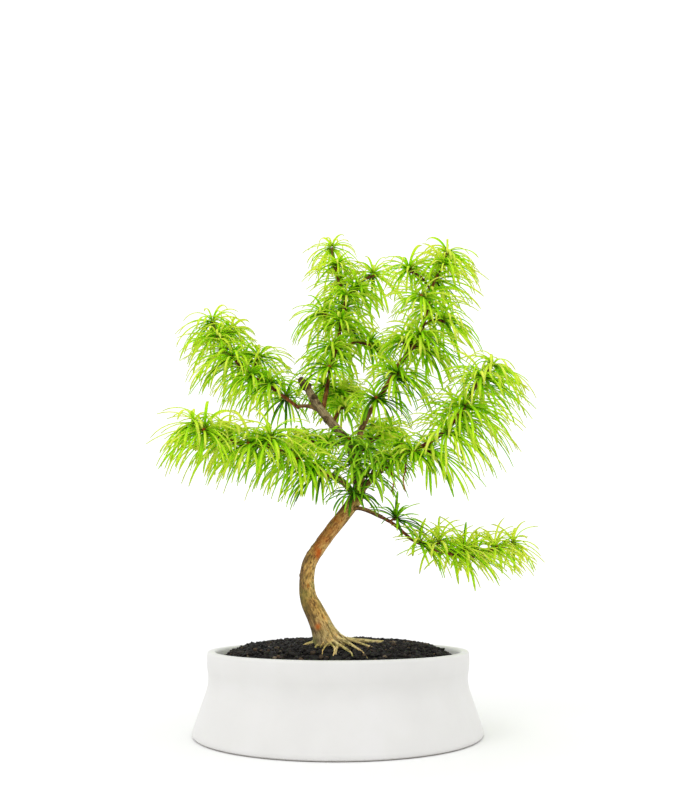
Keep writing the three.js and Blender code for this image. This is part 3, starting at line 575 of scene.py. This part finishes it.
def filleted(outline, longest):
    """Closed outline of (radius, height, cut): each corner is replaced by the quadratic curve
    (1-t)^2 A + 2t(1-t) C + t^2 B between the points A and B one cut before and after the corner C, and
    no straight stretch stays longer than `longest`."""
    rows = np.asarray(outline, float)
    corner, cut = rows[:, :2], rows[:, 2:]
    before, after = np.roll(corner, 1, axis=0), np.roll(corner, -1, axis=0)
    a = corner + unit(before - corner) * cut
    b = corner + unit(after - corner) * cut
    t = np.linspace(0, 1, 7)[None, :, None]
    curve = (1 - t) ** 2 * a[:, None] + 2 * t * (1 - t) * corner[:, None] + t**2 * b[:, None]
    points = []
    for k, bend in enumerate(curve):
        bend = bend if cut[k] > 0 else bend[:1]
        points.extend(bend)
        gap = curve[(k + 1) % len(curve)][0] - bend[-1]
        count = int(span(gap) // longest)
        points.extend(bend[-1] + gap * share for share in np.arange(1, count + 1) / (count + 1))
    return np.array(points)


def turned(outline, sides):
    """Shape of a closed outline of (radius, height) turned about the pot's axis: x = r cos(a), y = r sin(a)."""
    angle = np.linspace(0, 2 * math.pi, sides, endpoint=False)
    rows = np.vstack([outline, outline[:1]])
    ring = np.stack([np.cos(angle), np.sin(angle)], axis=1)
    level = rows[:, None, :1] * ring[None]
    points = np.concatenate([level, np.repeat(rows[:, None, 1:], sides, axis=1)], axis=2)
    faces = grid_faces(len(rows), sides) % ((len(rows) - 1) * sides)
    return points[:-1].reshape(-1, 3), faces[:, ::-1], NO_TRIANGLES, {}


def soil_height(x, y):
    """Height of the smooth mound at a place: read off by its distance from the axis."""
    return np.interp(np.hypot(x, y), SOIL_RADII, SOIL_HEIGHTS)


def soil_shape():
    """Soil body: rings of points from the middle of the mound out to the pot's wall, then down the wall and
    under. The mound's height has crumbs of 2 to 9 mm added to it."""
    radii = np.linspace(0.4, SOIL_EDGE, SOIL_RINGS)
    angle = np.linspace(0, 2 * math.pi, SOIL_SIDES, endpoint=False)
    r, a = np.meshgrid(radii, angle, indexing="ij")
    x, y = r * np.cos(a), r * np.sin(a)
    crumbs = layered(np.stack([x, y, 0 * x], axis=2).reshape(-1, 3), SOIL_CRUMBS).reshape(x.shape)
    top = np.stack([x, y, soil_height(x, y) - SOIL_SINK + crumbs], axis=2)
    rest = np.array(SOIL_REST)
    under = np.stack([rest[:, :1] * np.cos(angle), rest[:, :1] * np.sin(angle),
                      np.repeat(rest[:, 1:], SOIL_SIDES, axis=1)], axis=2)
    rows = np.concatenate([top, under])
    points = np.vstack([rows.reshape(-1, 3), [0, 0, top[0, :, 2].mean()], [0, 0, rest[-1, 1]]])
    quads, triangles = grid_faces(len(rows), SOIL_SIDES), poles(len(rows), SOIL_SIDES)
    return points, quads[:, ::-1], triangles[:, ::-1], {"tint": 0.12 + 0.1 * noise(points, 2.5)}


def grains_shape():
    """Loose crumbs on the soil: one icosahedron for each, stretched, turned at random and with its corners
    moved in and out. They lie on a sunflower spiral, radius = edge sqrt(share), angle = golden turn."""
    golden = (1 + math.sqrt(5)) / 2
    pairs = [(s, t * golden) for s in (-1, 1) for t in (-1, 1)]
    corners = unit([(s, t, 0) for s, t in pairs] + [(0, s, t) for s, t in pairs] + [(t, 0, s) for s, t in pairs])
    gap = span(corners[:, None] - corners[None])
    near = (gap > 0.1) & (gap < 1.1)
    faces = np.array([(i, j, k) for i in range(12) for j in range(i + 1, 12) for k in range(j + 1, 12)
                      if near[i, j] and near[j, k] and near[i, k]])
    a, b, c = corners[faces[:, 0]], corners[faces[:, 1]], corners[faces[:, 2]]
    inward = np.einsum("ij,ij->i", np.cross(b - a, c - a), a) < 0
    faces[inward] = faces[inward][:, [0, 2, 1]]
    number = np.arange(GRAINS)
    reach = (SOIL_EDGE - GRAIN_MARGIN) * np.sqrt((number + 0.5) / GRAINS)
    turn = number * GOLDEN_TURN + 0.8 * jitter(number)
    x, y = reach * np.cos(turn), reach * np.sin(turn)
    size = 0.7 + 1.3 * jitter(number + 0.31) ** 2
    stretch = np.stack([size * (1 + 0.8 * jitter(number + 0.17)), size, size * (0.6 + 0.3 * jitter(number + 0.23))],
                       axis=1)
    spin, lean = 2 * math.pi * jitter(number + 0.57), 0.9 * (jitter(number + 0.71) - 0.5)
    lumps = corners[None] * stretch[:, None]
    lumps = lumps * (0.78 + 0.44 * jitter(number[:, None] * 12.7 + np.arange(12)[None] + 0.9))[..., None]
    px, py, pz = lumps[..., 0], lumps[..., 1], lumps[..., 2]
    px, pz = rotated(px, pz, lean[:, None])
    px, py = rotated(px, py, spin[:, None])
    z = soil_height(x, y) + 0.1 * size
    points = np.stack([px + x[:, None], py + y[:, None], pz + z[:, None]], axis=2).reshape(-1, 3)
    triangles = (faces[None] + 12 * number[:, None, None]).reshape(-1, 3)
    return points, NO_QUADS, triangles, {"tint": np.repeat(jitter(number + 0.43), 12)}


def root_line(root):
    """Centre line of a surface root: it leaves the trunk's foot, comes down onto the soil by the third power
    of the way left, sways by a sine, and sinks in at its end."""
    angle_deg, reach, radius, start = root
    foot = np.array(TRUNK[2][:3])
    angle = math.radians(angle_deg)
    share = np.linspace(0, 1, 5)
    run = share * reach
    sway = 0.05 * reach * np.sin(share * 7 + angle_deg)
    x = foot[0] + run * math.cos(angle) - sway * math.sin(angle)
    y = foot[1] + run * math.sin(angle) + sway * math.cos(angle)
    z = soil_height(x, y) + start * (1 - share) ** 3 + 0.5 * radius - 6 * share**6
    return np.stack([x, y, z], axis=1)


def fused(shape, voxel, name):
    """One closed skin round overlapping closed bars: a voxel remesh, then a light smoothing. Returns its
    points in millimetres from the pot's axis, the normals there, and its faces."""
    rough = new_object(name, new_mesh(name, shape))
    remesh = rough.modifiers.new("skin", "REMESH")
    remesh.mode = "VOXEL"
    remesh.voxel_size = voxel * MM
    smooth = rough.modifiers.new("soften", "SMOOTH")
    smooth.factor = 0.5
    smooth.iterations = 5
    depsgraph = bpy.context.evaluated_depsgraph_get()
    skin = bpy.data.meshes.new_from_object(rough.evaluated_get(depsgraph))
    bpy.data.objects.remove(rough)
    points = np.empty(len(skin.vertices) * 3)
    skin.vertices.foreach_get("co", points)
    normals = np.empty(len(skin.vertices) * 3)
    skin.vertices.foreach_get("normal", normals)
    corners = np.empty(len(skin.loops), np.int32)
    skin.loops.foreach_get("vertex_index", corners)
    bpy.data.meshes.remove(skin)
    return points.reshape(-1, 3) / MM - POT_AXIS, normals.reshape(-1, 3), corners.reshape(-1, 4)


def nearest_on_lines(points, lines):
    """For each point, the nearest line by distance over radius. Returns the place on the straightened stem
    (side, other side, way along, in mm), the share along it, and the line's number."""
    best = np.full(len(points), np.inf)
    grain = np.zeros((len(points), 3))
    share = np.zeros(len(points))
    number = np.zeros(len(points), int)
    for k, (line, radius) in enumerate(lines):
        lengths = lengths_along(line)
        _, side, other = frames(line)
        start, way = line[:-1], np.diff(line, axis=0)
        away = points[:, None] - start[None]
        t = np.clip(np.einsum("psx,sx->ps", away, way) / np.einsum("sx,sx->s", way, way), 0, 1)
        apart = span(away - t[..., None] * way[None])
        segment = apart.argmin(axis=1)
        rows = np.arange(len(points))
        place = segment + t[rows, segment]
        thick = np.interp(place, np.arange(len(line)), radius)
        score = apart[rows, segment] / thick
        closer = score < best
        spot = points - (start[segment] + t[rows, segment][:, None] * way[segment])
        local = np.stack([np.einsum("ij,ij->i", spot, side[segment]), np.einsum("ij,ij->i", spot, other[segment]),
                          np.interp(place, np.arange(len(line)), lengths) + 500 * k], axis=1)
        best[closer], grain[closer] = score[closer], local[closer]
        share[closer], number[closer] = (place / (len(line) - 1))[closer], k
    return grain, share, number


def scar_field(points, line, radius):
    """Raised scars scattered over the upper trunk: each is a bell exp(-(distance / size)^2)."""
    _, side, other = frames(line)
    field = np.zeros(len(points))
    for k in range(SCARS):
        row = int(jitter(k + 0.3) * SCARRED * len(line) + SCARS_FROM * len(line))
        angle = 2 * math.pi * jitter(k + 0.6)
        centre = line[row] + radius[row] * (math.cos(angle) * side[row] + math.sin(angle) * other[row])
        field += np.exp(-((span(points - centre) / SCAR_SIZE) ** 2))
    return field


def woody_tree():
    """Trunk, limbs, surface roots and pruning knobs as one skin. The bark's relief is added along the normals:
    long flutes, short cracks and small raised scars where spurs and leaves once grew."""
    bars = []
    for controls in (TRUNK, *LIMBS.values()):
        line = smooth_line(controls, 3)
        bars.append((line, radius_along(controls, len(line))))
    for root in ROOTS:
        line = smooth_line(root_line(root), 2.5)
        bars.append((line, root[2] * (1.25 - 0.8 * np.linspace(0, 1, len(line)))))
    for knob in KNOBS:
        line = smooth_line(knob, 1)
        bars.append((line, radius_along(knob, len(line))))
    shape = joined([tube(line, radius, 26 if k == 0 else 14) for k, (line, radius) in enumerate(bars)])
    points, normals, quads = fused(shape, SKIN_VOXEL, "woody_tree_rough")
    grain, share, number = nearest_on_lines(points, bars)
    is_trunk, is_knob = number == 0, number > len(LIMBS) + len(ROOTS)
    is_root = (number > len(LIMBS)) & ~is_knob
    is_limb = (number > 0) & ~is_root & ~is_knob
    stub = np.clip((share - 0.965) / 0.02, 0, 1) * is_trunk + 0.7 * is_knob
    scar = scar_field(points, *bars[0])
    relief = layered(grain * GRAIN_STRETCH, BARK_LAYERS) * (np.where(is_trunk, 1.0, 0.45) + 1.6 * stub)
    points = points + normals * (relief + SCAR_HEIGHT * np.minimum(scar, 1))[:, None]
    above = points[:, 2] - soil_height(points[:, 0], points[:, 1])
    # Painted shade: the bark is darkened in patches where its normals face left (-x)
    painted_shade_left = np.clip((0.4 - normals[:, 0]) / 1.2, 0, 1) ** 0.9 * patchy(points, 0.85, 0.5, 4)
    # Painted light: the bark turns cream in patches where its normals face right (+x)
    painted_light_right = 0.4 * np.clip((normals[:, 0] - 0.2) / 0.6, 0, 1) * patchy(points, 0.8, 0.6, 6)
    collar = 0.75 * np.clip(1.25 - above / COLLAR, 0, 1)
    old_grey = np.where(is_knob, 0.6, np.clip((share - 0.6) / 0.1, 0, 1) * is_trunk)
    cast = [np.where(is_root, patchy(points, 0.75, 0.6, 8), np.maximum(collar, painted_light_right) * ~is_limb),
            0.9 * old_grey, 0.85 * painted_shade_left * ~is_root]
    moss = 0.7 * np.clip(1 - above / MOSS_LINE, 0, 1) * patchy(points, 0.25, 0.9, 5)
    lichen = 0.4 * np.exp(-(((points[:, 2] - LICHEN_AT) / LICHEN_REACH) ** 2)) * patchy(points, 0.35, 1.1, 6)
    rusty = np.array(RUST, float)
    apart = span(points[:, None] - rusty[None, :, :3]) / rusty[:, 3]
    rust = (np.exp(-(apart**2)) * rusty[:, 4]).sum(axis=1) * patchy(points + 30, 0.8, 0.8, 4)
    spots = [np.maximum(moss, lichen * is_trunk), np.clip(0.8 * np.clip(scar - 0.3, 0, 1) + stub, 0, 1),
             np.clip(rust, 0, 0.95) * is_trunk]
    marks = {"grain": grain, "youth": np.where(is_limb, 0.15 + 0.85 * share, 0.0),
             "cast": np.stack(cast, axis=1), "spots": np.stack(spots, axis=1)}
    return points, quads, NO_TRIANGLES, marks


def nearest_on_line(line, wanted):
    """Nearest point of a line, the way the line runs there, and its number."""
    start, way = line[:-1], np.diff(line, axis=0)
    t = np.clip(np.sum((wanted - start) * way, axis=1) / np.sum(way * way, axis=1), 0, 1)
    spots = start + t[:, None] * way
    row = int(np.argmin(span(spots - wanted)))
    return spots[row], unit(way[row]), row


def rosette_ways(axis, count, seed, first):
    """Directions of a rosette's needles: evenly spread by the golden turn over the belt from the first angle to
    104 degrees off the axis, each a little astray. Also the share of full length that each angle gives."""
    k = np.arange(count)
    inner, outer = math.cos(math.radians(first)), math.cos(math.radians(ROSETTE_TO))
    cosine = inner + (k + 0.5) / count * (outer - inner)
    polar = np.arccos(cosine)
    turn = k * GOLDEN_TURN + seed
    side = unit(np.cross(axis, UP if abs(axis[2]) < 0.9 else [1.0, 0, 0]))
    other = np.cross(axis, side)
    ways = (cosine[:, None] * axis + (np.sin(polar) * np.cos(turn))[:, None] * side
            + (np.sin(polar) * np.sin(turn))[:, None] * other)
    astray = np.stack([jitter(seed * 31 + k * 3 + c) - 0.5 for c in (0.1, 0.4, 0.8)], axis=1)
    ways = unit(ways + 0.22 * astray)
    return ways, np.interp(np.degrees(polar), REACH_AT, REACH)


def needles(roots, ways, lengths, seed, tint, droop=1.0):
    """Needles as one shape. Each is a blade carried along an arc in an upright plane: it starts at the slope of
    its way, raised where it would start downwards, and its slope falls evenly by the bend, which is larger for
    a steep start; its heading drifts a little. Across the arc stand a left edge, a crown, a right edge and a
    keel, wide as the taper says and turned slowly about the arc."""
    count = len(roots)
    number = seed * 57 + np.arange(count)
    slope0 = np.arcsin(np.clip(ways[:, 2], -1, 1))
    slope0 = np.where(slope0 < 0, LOW_RISE * slope0, slope0)
    bend = droop * (BEND * (0.65 + 0.7 * jitter(number)) + HIGH_BEND * np.maximum(slope0, 0))
    bend = np.minimum(bend, slope0 + STEEPEST)
    heading0 = np.arctan2(ways[:, 1], ways[:, 0])
    drift = 0.5 * (jitter(number + 0.37) - 0.5)
    s = np.linspace(0, 1, NEEDLE_STEPS + 1)
    slope = slope0[:, None] - bend[:, None] * s
    heading = heading0[:, None] + drift[:, None] * s
    along = np.stack([np.cos(slope) * np.cos(heading), np.cos(slope) * np.sin(heading), np.sin(slope)], axis=2)
    middle = unit(along[:, 1:] + along[:, :-1])
    steps = np.cumsum(middle * (lengths / NEEDLE_STEPS)[:, None, None], axis=1)
    centre = roots[:, None] + np.concatenate([np.zeros((count, 1, 3)), steps], axis=1)
    across = np.stack([np.sin(heading), -np.cos(heading), 0 * heading], axis=2)
    crown = np.cross(across, along)
    crown = crown * np.where(crown[..., 2:] < 0, -1, 1)
    twist = (0.9 * (jitter(number + 0.53) - 0.5))[:, None] * (0.3 + s)
    crown, across = rotated(crown, across, twist[..., None])
    width = (NEEDLE_WIDTH / 2 * (0.85 + 0.3 * jitter(number + 0.77)))[:, None] * np.interp(s, TAPER_AT, TAPER)
    thick = NEEDLE_THICKNESS * (0.5 + 0.5 * np.interp(s, TAPER_AT, TAPER))[None, :, None]
    width = width[..., None]
    corners = np.stack([centre + across * width, centre + crown * thick * 0.3,
                        centre - across * width, centre - crown * thick * 0.7], axis=2)
    rings = NEEDLE_STEPS + 1
    points = corners.reshape(-1, 3)
    one = grid_faces(rings, 4)
    last = (rings - 1) * 4
    caps = np.array([(3, 2, 1, 0), (last, last + 1, last + 2, last + 3)])
    turned_out = np.einsum("ij,ij->i", np.cross(across[:, 0], crown[:, 0]), along[:, 0]) < 0
    one = np.vstack([one, caps])
    faces = np.where(turned_out[:, None, None], one[None, :, ::-1], one[None])
    quads = (faces + (rings * 4 * np.arange(count))[:, None, None]).reshape(-1, 4)
    marks = {
        "tint": np.clip(np.repeat(tint[:, None] + TIP_YELLOWING * (s[None] - 0.45), 4), 0, 1),
        "along": np.tile(np.repeat(s, 4), count),
        "rib": np.tile([0.0, 1.0, 0.0, 0.6], count * rings),
    }
    return points, quads, NO_TRIANGLES, marks


def rosette_needles(centre, axis, length, count, seed, bright, droop=1.0, first=ROSETTE_FROM):
    """Needles of one rosette on its knob; outward ones are longer, and those that point down a little darker: painted
    shade.
    """
    ways, share = rosette_ways(axis, count, seed, first)
    number = seed * 31 + np.arange(count)
    gain = 1 + OUTWARD_GAIN * ways @ out_of_crown(centre)
    lengths = length * (share + 0.24 * (jitter(number + 0.9) - 0.5)) * gain
    # Painted shade: needles that point down get a darker tint, those that point up a lighter one
    tint = bright + 0.2 * ways[:, 2] + 0.7 * (jitter(number + 0.2) - 0.5)
    return needles(centre + ways * BUD_RADIUS, ways, lengths, seed, tint, droop)


def elbow(start, tip, lift):
    """Middle of the way between two points, raised by a share of its length."""
    way = tip - start
    return start + 0.5 * way + lift * span(way) * UP


def twig_marks(points, squeeze, along, shift, moss=0, scar=0, bud=0):
    """Marks of young bark: the place on the straightened twig, full youth, no weathering, and its spots."""
    grain = np.stack([points[:, 0] * squeeze, points[:, 1] * squeeze, along], axis=1) + shift
    spots = np.stack([spot + 0 * along for spot in (moss, scar, bud)], axis=1)
    return {"grain": grain, "youth": np.ones(len(points)), "cast": np.zeros((len(points), 3)), "spots": spots}


def spur_shape(start, tip, axis, seed):
    """Short shoot: a bar that leaves the stem, thickens ring by ring, one ring for each year, and ends in
    a bud. Its radius is a slow swelling plus a sine of the way along, shut by a round end."""
    line = smooth_line([start, elbow(start, tip, 0.12), tip - axis * 0.6, tip + axis * BUD_LENGTH], SPUR_STEP)
    s = np.linspace(0, 1, len(line))
    length = lengths_along(line)[-1]
    swell = 0.85 + 0.75 * np.clip(s * 1.15, 0, 1) ** 3
    rings = 0.13 * np.sin(s * length * 2 * math.pi / YEAR_RING + seed) * np.clip(s * 2, 0, 1)
    close = np.sqrt(np.clip((1 - s) * length / 1.6, 0.02, 1))
    points, quads, triangles, marks = tube(line, (swell + rings) * close, SPUR_SIDES)
    share = marks["share"]
    marks = twig_marks(points, 1, share * length, seed * 7, scar=0.4 * np.clip(share * 2, 0, 1),
                       bud=0.8 * np.clip((share - 0.84) / 0.1, 0, 1))
    return points, quads, triangles, marks


def stem_shape(line, thick, thin, seed):
    """Stem of a leafy branch: a slim bar with low knots, greener and thinner towards its tip."""
    radius = thick + (thin - thick) * np.linspace(0, 1, len(line))
    points, quads, triangles, marks = tube(line, radius, STEM_SIDES)
    share = marks["share"]
    marks = twig_marks(points, 0.6, share * lengths_along(line)[-1], seed * 11,
                       moss=np.clip((share - 0.8) * 1.5, 0, 0.3))
    centre = np.vstack([np.repeat(line, STEM_SIDES, axis=0), line[0], line[-1]])
    points = points + unit(points - centre) * layered(points, STEM_KNOTS)[:, None]
    return points, quads, triangles, marks


def leafy_branch(name, branch, order, bark, green):
    """A leafy branch: its stem with spurs as one piece, and all its needles as another. Each spur leaves the
    stem before the nearest point to its tip; its bud looks up, away from the stem and out of the crown."""
    line = smooth_line(branch["stem"], COARSE_STEP)
    fine = smooth_line(branch["stem"], FINE_STEP)
    thick, thin = branch["radius"]
    full, droop = branch["needle"], branch.get("droop", 1.0)
    sunk = fine[:1] + unit(fine[0] - fine[1]) * STEM_SUNK
    wood = [stem_shape(np.vstack([sunk, fine]), thick, 0.85 * thin, order)]
    leaves = []
    for k, spur in enumerate(branch["spurs"]):
        tip, seed = np.array(spur, float), order * 13 + k
        at, along, row = nearest_on_line(line, tip)
        back = min(0.5 * span(at - tip), 0.8 * span(at - line[0]))
        start, _, _ = nearest_on_line(line, at - along * back)
        faces_us = k in branch.get("facing", ())
        axis = unit(0.6 * UP + 0.6 * unit(tip - start) + 0.2 * along + 0.25 * out_of_crown(tip)
                    + FACING * faces_us)
        share = row / (len(line) - 2)
        vigour = 0.76 + 0.3 * math.sin(math.pi * (0.1 + 0.75 * share))
        length = full * vigour * (0.92 + 0.16 * jitter(order * 5 + k))
        wood.append(spur_shape(start, tip, axis, seed))
        if span(tip - start) > LONG_SPUR:
            sprig = smooth_line([start, elbow(start, tip, 0.1), tip], SHOOT_STEP)
            leaves.append(shoot_needles(sprig, 0.8, length, order + 60 + k, len(sprig) // 2, *SPRIG_SPRAY))
        if k in branch.get("short", ()):
            length *= SHORTENED
        # Painted shade: the listed shaded spurs get darker needles; needles also get brighter towards the branch's
        # tip
        bright = 0.4 + 0.3 * share ** 0.7 + branch.get("bright", 0) - 0.5 * (k in branch.get("shaded", ()))
        leaves.append(rosette_needles(tip, axis, length, branch.get("rosette", ROSETTE_NEEDLES), seed, bright,
                                      droop, OPEN_CENTRE if faces_us else ROSETTE_FROM))
    end = line[-1]
    end_axis = unit(0.6 * unit(end - line[-2]) + 0.1 * UP + 0.4 * out_of_crown(end))
    leaves.append(rosette_needles(end, end_axis, full * branch.get("tip", TIP_VIGOUR), TIP_NEEDLES,
                                  order * 13 + 50, 0.75, 1.2 * droop, TIP_FROM))
    leaves.append(shoot_needles(fine, thin, full, order, SHOOT_NEEDLES, *TIP_SPRAY))
    count = round(0.7 * lengths_along(fine)[-1] / STEM_NEEDLE_GAP)
    leaves.append(shoot_needles(fine, thin, full, order + 30, count, *STEM_SPRAY))
    for root, rise in branch.get("upright", ()):
        leaves.append(needles(np.array([root], float), np.array([[0.02, -0.02, 1.0]]), np.array([rise]),
                              order, np.array([0.1]), 0.1))
    wood.extend(stem_shape(smooth_line(shoot, SHOOT_STEP), 0.65, 0.5, 40 + k)
                for k, shoot in enumerate(branch.get("dead", ())))
    new_piece(name + "_wood", joined(wood), bark, "bark", name)
    new_piece(name + "_needles", joined(leaves), green, "foliage", name)


def shoot_needles(fine, thin, length, order, count, stretch, reach, bright):
    """Single needles along a stretch of a stem, one for each golden turn about it, half drawn up towards the
    tip. `stretch` and `reach` are the first and last share of the stem and of the full needle length."""
    k = np.arange(count)
    rows = len(fine) * (stretch[0] + (stretch[1] - stretch[0]) * (k + jitter(order + k)) / count)
    rows = np.minimum(rows.astype(int), len(fine) - 1)
    along, side, other = frames(fine)
    turn = k * GOLDEN_TURN + order
    outward = np.cos(turn)[:, None] * side[rows] + np.sin(turn)[:, None] * other[rows]
    ways = unit(outward + 0.4 * along[rows] + 0.3 * UP)
    lengths = length * (reach[0] + (reach[1] - reach[0]) * jitter(order * 3 + k + 0.6))
    tint = np.clip(bright + 0.4 * jitter(order * 7 + k), 0, 1)
    return needles(fine[rows] + outward * thin * 0.6, ways, lengths, 900 + order, tint)


def old_wood_tuft(name, tuft, order, bark, green):
    """A tuft on old wood: a few spurs, each with its rosette of needles in the darker green that paints the shade
    inside the crown.
    """
    spurs, length, bright = tuft
    wood, leaves = [], []
    for k, (root, tip) in enumerate(spurs):
        root, tip, seed = np.array(root, float), np.array(tip, float), 700 + 9 * order + k
        axis = unit(0.5 * UP + unit(tip - root))
        wood.append(spur_shape(root, tip, axis, seed))
        leaves.append(rosette_needles(tip, axis, length, TUFT_NEEDLES, seed, bright))
    new_piece(name + "_wood", joined(wood), bark, "bark", name)
    new_piece(name + "_needles", joined(leaves), green, "foliage_dark", name)


def soft_box(name, place, target, size, power):
    """Square area lamp at a place, in metres, that looks at a target."""
    lamp = bpy.data.lights.new(name, "AREA")
    lamp.size = size
    lamp.energy = power
    holder = new_object(name, lamp)
    way = np.array(target) - np.array(place)
    level = math.hypot(way[0], way[1])
    holder.location = place
    holder.rotation_euler = (math.pi / 2 + math.atan2(way[2], level), 0, math.atan2(-way[0], way[1]))


# Pot
new_piece("pot_glazed", turned(filleted(POT_OUTLINE, 3.2), POT_SIDES), glazed_stoneware(), "white_ceramic", "pot")

# Drainage netting keeps its CAD shape
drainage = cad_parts["drainage_mesh"]
drainage.data.materials.clear()
drainage.data.materials.append(moulded_netting())

# Soil and the loose crumbs on it
soil_tones = [(0.0, "#0D0B0A"), (0.5, "#16120F"), (0.82, "#221B16"), (0.93, "#32281E"), (0.98, "#58452F"),
              (1.0, "#847A68")]
peat = potting_soil("potting_mix_damp", soil_tones, 2.2)
crumb = potting_soil("potting_mix_crumbs", soil_tones, 1.3)
new_piece("soil_body", soil_shape(), peat, "soil", "soil")
new_piece("soil_crumbs", grains_shape(), crumb, "soil", "soil", smooth=False)

# Woody tree
trunk_bark = larch_bark(
    "larch_bark_old_and_young",
    [(0.34, "#7E6430"), (0.43, "#A67E3C"), (0.49, "#C4964C"), (0.55, "#DCB468"), (0.62, "#C0802E"),
     (0.69, "#94500E")],
    [(0.38, "#66402A"), (0.5, "#8E6040"), (0.62, "#B08A60")],
)
twig_bark = larch_bark(
    "larch_twig_bark",
    [(0.38, "#8A6038"), (0.6, "#A87848")],
    [(0.38, "#4E2210"), (0.5, "#7E3C1A"), (0.62, "#A8703E")],
)
new_piece("tree_wood", woody_tree(), trunk_bark, "bark", "trunk_and_roots")

# Leafy branches and tufts
fresh_green = needle_green(
    "larch_needle_fresh",
    [(0.0, "#3C7A04"), (0.22, "#82C408"), (0.45, "#BEF216"), (0.7, "#E6FF3C"), (1.0, "#F8FF74")], 0.55)
# Painted shade: a darker copy of the needle green, for the tufts inside the crown
shade_green = needle_green(
    "larch_needle_shade",
    [(0.0, "#2E6E0A"), (0.4, "#62AC10"), (0.7, "#9AD81C"), (1.0, "#CCF43A")], 0.45)
for order, (name, branch) in enumerate(BRANCHES.items(), start=1):
    leafy_branch(name, branch, order, twig_bark, fresh_green)
for order, (name, tuft) in enumerate(TUFTS.items()):
    old_wood_tuft(name, tuft, order, twig_bark, shade_green)

# Floor, light and camera
floor_mesh = bpy.data.meshes.new("floor")
floor_mesh.from_pydata([(-4, -4, 0), (4, -4, 0), (4, 4, 0), (-4, 4, 0)], [], [(0, 1, 2, 3)])
floor = new_object("floor", floor_mesh)
floor_material, floor_tree, floor_surface = new_material("studio_floor_pale")
floor_shader = add_node(floor_tree, "BsdfPrincipled", values={
    "Base Color": linear("#F0F0F0"), "Roughness": 0.9, "Specular IOR Level": 0.1})
floor_tree.links.new(floor_shader, floor_surface)
floor_mesh.materials.append(floor_material)

scene = bpy.context.scene
scene.view_settings.view_transform = "Standard"
scene.view_settings.look = "None"
world = bpy.data.worlds.new("studio_white")
world.use_nodes = True
world.node_tree.nodes["Background"].inputs["Color"].default_value = (1, 1, 1, 1)
world.node_tree.nodes["Background"].inputs["Strength"].default_value = 1.2
scene.world = world
soft_box("key", (-0.7, -0.7, 1.1), (0, 0, 0.2), 0.5, 2.6)
soft_box("fill", (0.9, -0.5, 0.7), (0, 0, 0.2), 0.9, 0.4)

lens = bpy.data.cameras.new("camera")
lens.sensor_width = SENSOR
lens.lens = SENSOR * FOCAL / PHOTO_HEIGHT
lens.clip_start = 0.01
camera = new_object("camera", lens)
camera.location = (POT_AXIS[0] * MM, CAMERA_AWAY, CAMERA_HEIGHT)
camera.rotation_euler = (math.pi / 2 + CAMERA_PITCH, 0, -CAMERA_YAW)
scene.camera = camera
